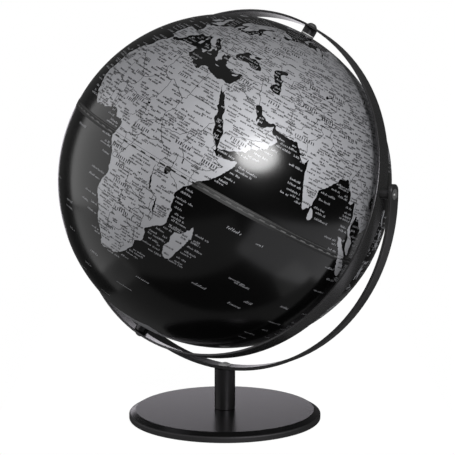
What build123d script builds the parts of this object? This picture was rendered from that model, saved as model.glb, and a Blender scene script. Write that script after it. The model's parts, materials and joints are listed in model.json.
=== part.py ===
import os
from math import cos, radians, sqrt

from build123d import *

# Desktop globe on a gimbal stand. The globe spins between its poles in a flat meridian ring,
# and the ring swings end over end in a half-round cradle on a post and a heavy round foot.
# Millimetres. Origin under the middle of the foot, +Z up, +X along the swing pivots.

# Globe ball
globe_diameter = 300.0
shell_wall = 2.0
joint_band_width = 24.0
joint_band_thickness = 1.5
axis_tilt = 23.5  # polar axis from the ring's upright diameter, towards +X
ring_swing = 18.0  # how far the ring's top leans back as it stands

# Meridian ring and cradle, both bent from flat bar
ring_gap = 7.2  # globe to ring
ring_width = 17.5
ring_thickness = 2.0
swing_gap = 9.8  # ring to cradle
cradle_width = 13.5
cradle_thickness = 3.0
cradle_end_overhang = 8.5  # bar past the pivot at each end
cradle_end_round = 6.0
bar_edge_break = 0.4

# Post and foot
post_diameter = 19.0
post_length = 37.6
post_edge_break = 0.5
base_diameter = 176.0
base_thickness = 8.5
base_bevel_width = 6.0
base_bevel_drop = 3.6
base_edge_round = 1.0
pad_diameter = 160.0
pad_thickness = 1.0

# Pole bearings
axle_diameter = 8.0
pole_bush_diameter = 12.0
pole_bush_length = 8.0
pole_bush_flange_diameter = 22.0
pole_bush_flange_thickness = 2.5
pole_bush_proud = 0.3
pole_spacer_diameter = 12.3
pole_spacer_edge_break = 0.4
thrust_washer_thickness = 0.9

# Swing pivots
pivot_spacer_diameter = 9.0
pivot_spacer_edge_break = 0.3
pivot_washer_diameter = 10.0
pivot_washer_thickness = 1.0
pivot_nut_width = 8.0
pivot_nut_height = 3.5
pivot_screw_end = 0.5  # thread past the nut

# Button-head screws at the poles
pole_thread = 5.0
pole_head = 9.5
pole_head_height = 2.8
pole_socket = 3.0  # across flats
pole_socket_depth = 1.6
pole_thread_reach = 12.0  # thread inside the axle

# Countersunk screws at the swing pivots
pivot_thread = 5.0
pivot_head = 9.2
pivot_head_height = 2.1
pivot_socket = 3.0
pivot_socket_depth = 1.5

# Button-head screw that holds the cradle on the post
cradle_thread = 6.0
cradle_head = 11.5
cradle_head_height = 2.4
cradle_socket = 4.0
cradle_socket_depth = 1.6
cradle_thread_reach = 12.0  # thread inside the post

# Countersunk screw from under the foot into the post
base_thread = 8.0
base_head = 16.0
base_head_height = 4.2
base_socket = 5.0
base_socket_depth = 2.6
base_thread_reach = 14.0  # thread inside the post
tap_runout = 2.0  # tapped hole past the end of its screw

# Clearances
running_clearance = 0.05  # radial, turning fits
thread_clearance = 0.05  # radial, screw in its tapped or drilled hole
end_play = 0.1  # axial, between faces that turn past each other
glue_line = 0.05

# Radii and heights that follow from the sizes above
globe_radius = globe_diameter / 2
shell_inner = globe_radius - shell_wall
ring_inner = globe_radius + ring_gap
ring_outer = ring_inner + ring_thickness
cradle_inner = ring_outer + swing_gap
cradle_outer = cradle_inner + cradle_thickness
base_top = pad_thickness + base_thickness
post_top = base_top + post_length
centre_height = post_top + cradle_outer


def seat(bore_radius, face_radius):
    # Distance from the globe's centre at which a flat round face meets the hollow of a bent bar
    return sqrt(bore_radius**2 - face_radius**2)


bush_face = globe_radius + pole_bush_proud
washer_face = bush_face + end_play
axle_end = washer_face + thrust_washer_thickness
spacer_end = seat(ring_inner, pole_spacer_diameter / 2)
pivot_washer_face = seat(cradle_inner, pivot_washer_diameter / 2)
pivot_spacer_end = pivot_washer_face - pivot_washer_thickness - end_play
pivot_nut_corner = pivot_nut_width / 2 / cos(radians(30))
pivot_nut_face = seat(ring_inner, pivot_nut_corner)
pivot_nut_end = pivot_nut_face - pivot_nut_height
pivot_head_face = seat(cradle_outer, pivot_head / 2)
cradle_head_seat = centre_height - seat(cradle_inner, cradle_head / 2)

# Frames that carry the moving groups: each one's +Z runs out from the globe's centre
at_centre = Pos(0, 0, centre_height)
at_ring = at_centre * Rot(-ring_swing, 0, 0)
at_north = at_ring * Rot(0, axis_tilt, 0)
at_south = at_north * Rot(180, 0, 0)
at_right_pivot = at_ring * Rot(0, 90, 0)
at_left_pivot = at_ring * Rot(0, -90, 0)
poles = {"north": at_north, "south": at_south}
pivots = {"right": at_right_pivot, "left": at_left_pivot}


def rod(diameter, low, high):
    return Pos(0, 0, low) * Cylinder(diameter / 2, high - low, align=(Align.CENTER, Align.CENTER, Align.MIN))


def tube(outer_diameter, bore_diameter, low, high):
    return rod(outer_diameter, low, high) - rod(bore_diameter, low, high)


def hexagon(width, low, high):
    outline = RegularPolygon(width / 2, 6, major_radius=False)
    return Pos(0, 0, low) * extrude(outline, high - low)


def broken_rims(piece, size, outer_diameter):
    # Small chamfer on the round rims of that diameter
    rims = [e for e in piece.edges().filter_by(GeomType.CIRCLE) if abs(e.radius - outer_diameter / 2) < 1e-6]
    return chamfer(rims, size)


def hole_size(thread):
    return thread + 2 * thread_clearance


def button_screw(thread, tip, seat_height, head, head_height, socket, socket_depth):
    # Low domed head with a hexagon socket, head upwards
    dome_radius = ((head / 2) ** 2 + head_height**2) / (2 * head_height)
    dome = Pos(0, 0, seat_height + head_height - dome_radius) * Sphere(dome_radius)
    top = seat_height + head_height
    body = rod(head, seat_height, top) & dome
    return body + rod(thread, tip, seat_height) - hexagon(socket, top - socket_depth, top + head_height)


def countersunk_screw(thread, tip, face, head, head_height, socket, socket_depth):
    # Flat head flush with the face at the top, tapering into the thread
    taper = Cone(thread / 2, head / 2, head_height, align=(Align.CENTER, Align.CENTER, Align.MAX))
    shank = rod(thread, tip, face - head_height)
    return Pos(0, 0, face) * taper + shank - hexagon(socket, face - socket_depth, face + socket_depth)


def countersink(thread, low, face, head, head_height, clearance):
    # Hole for such a screw, with the same gap all round
    bore = rod(thread + 2 * clearance, low, face + head_height)
    narrow = thread / 2 + clearance
    wide = head / 2 + clearance
    taper = Cone(narrow, wide, head_height, align=(Align.CENTER, Align.CENTER, Align.MAX))
    return bore + Pos(0, 0, face) * taper + rod(2 * wide, face, face + head_height)


def bent_bar(inner_radius, outer_radius, width):
    # Full hoop of flat bar in the XZ plane
    hoop = Circle(outer_radius) - Circle(inner_radius)
    return Rot(90, 0, 0) * extrude(hoop, width / 2, both=True)


# Foot
def make_base_plate():
    radius = base_diameter / 2
    side_top = base_top - base_bevel_drop
    with BuildSketch(Plane.XZ) as profile:
        Polygon(
            (0, pad_thickness),
            (radius, pad_thickness),
            (radius, side_top),
            (radius - base_bevel_width, base_top),
            (0, base_top),
            align=None,
        )
        corners = [v for v in profile.vertices() if v.X > radius / 2]
        fillet(corners, base_edge_round)
    plate = revolve(profile.sketch, Axis.Z)
    hole = countersink(base_thread, -base_top, -pad_thickness, base_head, base_head_height, thread_clearance)
    return plate - Rot(180, 0, 0) * hole


def make_base_pad():
    return rod(pad_diameter, 0, pad_thickness)


def make_base_screw():
    screw = countersunk_screw(
        base_thread, -base_top - base_thread_reach, -pad_thickness,
        base_head, base_head_height, base_socket, base_socket_depth,
    )
    return Rot(180, 0, 0) * screw


def make_post():
    column = rod(post_diameter, base_top, centre_height)
    column -= Pos(0, 0, centre_height) * Rot(90, 0, 0) * Cylinder(cradle_outer, 2 * post_diameter)
    foot_rim = column.edges().filter_by(GeomType.CIRCLE).sort_by(Axis.Z)[0]
    column = chamfer(foot_rim, post_edge_break)
    column -= rod(hole_size(base_thread), base_top, base_top + base_thread_reach + tap_runout)
    return column - rod(hole_size(cradle_thread), post_top - cradle_thread_reach - tap_runout, centre_height)


# Cradle
def make_cradle():
    band = bent_bar(cradle_inner, cradle_outer, cradle_width)
    band -= Pos(0, 0, cradle_end_overhang) * Box(
        3 * cradle_outer, 2 * cradle_width, 2 * cradle_outer, align=(Align.CENTER, Align.CENTER, Align.MIN)
    )
    end_corners = [
        e for e in band.edges().filter_by(GeomType.LINE)
        if abs(e.center().Z - cradle_end_overhang) < 1e-6 and abs(e.tangent_at(0.5).Y) < 0.5
    ]
    band = fillet(end_corners, cradle_end_round)
    faces = [f for f in band.faces().filter_by(GeomType.CYLINDER) if f.area > cradle_inner * cradle_width]
    rims = [e for f in faces for e in f.outer_wire().edges()]
    band = chamfer(rims, bar_edge_break)
    for turn in (90, -90):
        pivot_hole = countersink(
            pivot_thread, 0, pivot_head_face, pivot_head, pivot_head_height, running_clearance
        )
        band -= Rot(0, turn, 0) * pivot_hole
    band -= rod(hole_size(cradle_thread), -2 * cradle_outer, 0)
    return at_centre * band


def make_cradle_screw():
    return button_screw(
        cradle_thread, post_top - cradle_thread_reach, cradle_head_seat,
        cradle_head, cradle_head_height, cradle_socket, cradle_socket_depth,
    )


# Meridian ring
def make_meridian_ring():
    band = bent_bar(ring_inner, ring_outer, ring_width)
    band = chamfer(band.edges().filter_by(GeomType.CIRCLE), bar_edge_break)
    for turn in (90, -90):
        band -= Rot(0, turn, 0) * rod(hole_size(pivot_thread), 0, cradle_outer)
    for turn in (axis_tilt, axis_tilt + 180):
        band -= Rot(0, turn, 0) * rod(hole_size(pole_thread), 0, cradle_outer)
    return at_ring * band


# Swing pivots, each drawn along +Z and turned to its side
def make_pivot_screw():
    return countersunk_screw(
        pivot_thread, pivot_nut_end - pivot_screw_end, pivot_head_face,
        pivot_head, pivot_head_height, pivot_socket, pivot_socket_depth,
    )


def make_pivot_washer():
    low = pivot_washer_face - pivot_washer_thickness
    return tube(pivot_washer_diameter, pivot_thread + 2 * running_clearance, low, pivot_washer_face)


def make_pivot_spacer():
    sleeve = tube(pivot_spacer_diameter, hole_size(pivot_thread), ring_outer, pivot_spacer_end)
    return broken_rims(sleeve, pivot_spacer_edge_break, pivot_spacer_diameter)


def make_pivot_nut():
    blank = hexagon(pivot_nut_width, pivot_nut_end, pivot_nut_face)
    return blank - rod(hole_size(pivot_thread), pivot_nut_end, pivot_nut_face)


# Pole bearings, each drawn along +Z and turned to its pole
def make_axle():
    spindle = rod(axle_diameter, -axle_end, axle_end)
    tapped = rod(hole_size(pole_thread), axle_end - pole_thread_reach - tap_runout, axle_end)
    for turn in (0, 180):
        spindle -= Rot(turn, 0, 0) * tapped
    return at_north * spindle


def make_pole_screw():
    return button_screw(
        pole_thread, axle_end - pole_thread_reach, ring_outer,
        pole_head, pole_head_height, pole_socket, pole_socket_depth,
    )


def make_pole_spacer():
    sleeve = tube(pole_spacer_diameter, hole_size(pole_thread), axle_end, spacer_end)
    return broken_rims(sleeve, pole_spacer_edge_break, pole_spacer_diameter)


def make_thrust_washer():
    return tube(pole_spacer_diameter, axle_diameter + 2 * running_clearance, washer_face, axle_end)


def make_pole_bush():
    flange_face = seat(shell_inner, pole_bush_flange_diameter / 2)
    body = rod(pole_bush_diameter, bush_face - pole_bush_length, bush_face)
    body += rod(pole_bush_flange_diameter, flange_face - pole_bush_flange_thickness, flange_face)
    return body - rod(axle_diameter + 2 * running_clearance, 0, bush_face)


# Globe ball
def make_hemisphere():
    ball = Sphere(globe_radius) - Sphere(shell_inner)
    upper = Cylinder(2 * globe_radius, globe_diameter, align=(Align.CENTER, Align.CENTER, Align.MIN))
    return (ball & upper) - rod(pole_bush_diameter + 2 * glue_line, 0, globe_diameter)


def make_joint_band():
    outer = shell_inner - glue_line
    zone = Sphere(outer) - Sphere(outer - joint_band_thickness)
    return at_north * (zone & Cylinder(globe_diameter, joint_band_width))


os.makedirs("parts", exist_ok=True)


def save(name, piece):
    piece.label = name
    export_step(piece, f"parts/{name}.step")


save("base_pad", make_base_pad())
save("base_plate", make_base_plate())
save("base_screw", make_base_screw())
save("post", make_post())
save("cradle", make_cradle())
save("cradle_screw", make_cradle_screw())
save("meridian_ring", make_meridian_ring())
save("axle", make_axle())
save("equator_joint_band", make_joint_band())
for side, place in pivots.items():
    save(f"{side}_pivot_screw", place * make_pivot_screw())
    save(f"{side}_pivot_washer", place * make_pivot_washer())
    save(f"{side}_pivot_spacer", place * make_pivot_spacer())
    save(f"{side}_pivot_nut", place * make_pivot_nut())
for pole, place in poles.items():
    save(f"{pole}_hemisphere", place * make_hemisphere())
    save(f"{pole}_pole_bush", place * make_pole_bush())
    save(f"{pole}_thrust_washer", place * make_thrust_washer())
    save(f"{pole}_pole_spacer", place * make_pole_spacer())
    save(f"{pole}_pole_screw", place * make_pole_screw())
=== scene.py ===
import json
from math import atan, cos, pi, radians, sin, sqrt
from random import Random

import bmesh
import bpy
import numpy as np
from mathutils import Matrix, Vector
from mathutils.bvhtree import BVHTree
from mathutils.geometry import delaunay_2d_cdt


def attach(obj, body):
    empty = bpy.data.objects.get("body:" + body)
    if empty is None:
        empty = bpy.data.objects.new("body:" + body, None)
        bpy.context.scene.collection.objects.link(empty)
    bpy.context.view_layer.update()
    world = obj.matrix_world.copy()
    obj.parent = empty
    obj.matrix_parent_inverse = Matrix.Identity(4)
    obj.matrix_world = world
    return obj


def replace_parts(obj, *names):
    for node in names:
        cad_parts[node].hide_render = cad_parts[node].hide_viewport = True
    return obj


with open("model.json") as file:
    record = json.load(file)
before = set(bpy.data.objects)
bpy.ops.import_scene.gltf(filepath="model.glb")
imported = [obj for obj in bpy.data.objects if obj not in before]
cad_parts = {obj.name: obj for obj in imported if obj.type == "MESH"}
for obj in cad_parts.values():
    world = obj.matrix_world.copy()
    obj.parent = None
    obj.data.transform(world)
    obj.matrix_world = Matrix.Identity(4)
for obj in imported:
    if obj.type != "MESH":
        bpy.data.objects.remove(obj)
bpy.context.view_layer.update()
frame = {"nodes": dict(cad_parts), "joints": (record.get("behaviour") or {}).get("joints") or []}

mm = 0.001
print("frame loaded,", len(frame["nodes"]), "nodes")


def pick(sockets, key):  # by number, identifier or name
    if isinstance(key, int):
        return sockets[key]
    for socket in sockets:
        if key in (socket.identifier, socket.name):
            return socket
    raise KeyError(key)


class Wire:  # an output socket that can be used in sums
    def __init__(self, bench, socket):
        self.bench = bench
        self.socket = socket

    def maths(self, operation, *terms):
        return self.bench.node("ShaderNodeMath", {"operation": operation}, dict(enumerate(terms)))

    def __add__(self, other):
        return self.maths("ADD", self, other)

    def __radd__(self, other):
        return self.maths("ADD", other, self)

    def __sub__(self, other):
        return self.maths("SUBTRACT", self, other)

    def __rsub__(self, other):
        return self.maths("SUBTRACT", other, self)

    def __mul__(self, other):
        return self.maths("MULTIPLY", self, other)

    def __rmul__(self, other):
        return self.maths("MULTIPLY", other, self)

    def __abs__(self):
        return self.maths("ABSOLUTE", self)

    def between(self, low, high):  # 0 below low, 1 above high, smooth between
        sockets = {"Value": self, "From Min": low, "From Max": high}
        return self.bench.node("ShaderNodeMapRange", {"interpolation_type": "SMOOTHSTEP"}, sockets)


class Bench:  # a node tree with one way to add a node
    def __init__(self, tree):
        self.tree = tree

    def plug(self, socket, value):  # a link for a wire, else the socket's own value
        if isinstance(value, Wire):
            self.tree.links.new(value.socket, socket)
        else:
            socket.default_value = value

    def node(self, kind, settings, sockets, output=0):
        made = self.tree.nodes.new(kind)
        for name, value in settings.items():
            setattr(made, name, value)
        for name, value in sockets.items():
            self.plug(pick(made.inputs, name), value)
        return Wire(self, pick(made.outputs, output))

    def vector(self, operation, *terms, output="Vector"):
        return self.node("ShaderNodeVectorMath", {"operation": operation}, dict(enumerate(terms)), output)


class Finish(Bench):  # one surface, read in the object's own coordinates
    def __init__(self, name, **fixed):
        self.material = bpy.data.materials.new(name)
        self.material.use_nodes = True
        super().__init__(self.material.node_tree)
        self.shader = self.tree.nodes["Principled BSDF"]
        self.place = self.node("ShaderNodeTexCoord", {}, {}, "Object")
        for socket, value in fixed.items():
            self.feed(socket.replace("_", " "), value)

    def feed(self, socket, value):
        self.plug(pick(self.shader.inputs, socket), value)

    def noise(self, scale, detail=2.0, roughness=0.5):
        sockets = {"Vector": self.place, "Scale": scale, "Detail": detail, "Roughness": roughness}
        return self.node("ShaderNodeTexNoise", {}, sockets, "Fac")

    def blend(self, amount, one, other):
        sockets = {"Factor_Float": amount, "A_Color": one, "B_Color": other}
        return self.node("ShaderNodeMix", {"data_type": "RGBA"}, sockets, "Result_Color")

    def bump(self, height, distance, strength=1.0):
        sockets = {"Strength": strength, "Distance": distance, "Height": height}
        self.feed("Normal", self.node("ShaderNodeBump", {}, sockets, "Normal"))

    def along(self, direction, origin=(0, 0, 0)):  # distance from origin along a direction, in metres
        arm = self.vector("SUBTRACT", self.place, tuple(origin))
        return self.vector("DOT_PRODUCT", arm, tuple(direction), output="Value")

    def fromAxis(self):  # distance from the stand's upright axis, in metres
        return self.vector("LENGTH", self.vector("MULTIPLY", self.place, (1, 1, 0)), output="Value")


def grey(level):
    return (level, level, level, 1.0)


def makePiece(name, bm, finish):  # puts a finished shape in the scene
    mesh = bpy.data.meshes.new(name)
    bm.to_mesh(mesh)
    bm.free()
    mesh.materials.append(finish.material)
    piece = bpy.data.objects.new(name, mesh)
    bpy.context.scene.collection.objects.link(piece)
    print(name, len(mesh.polygons), "faces")
    return piece


def printPiece(name, bm, finish):  # a piece that turns with the globe
    piece = makePiece(name, bm, finish)
    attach(piece, "globe")
    return piece


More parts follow.
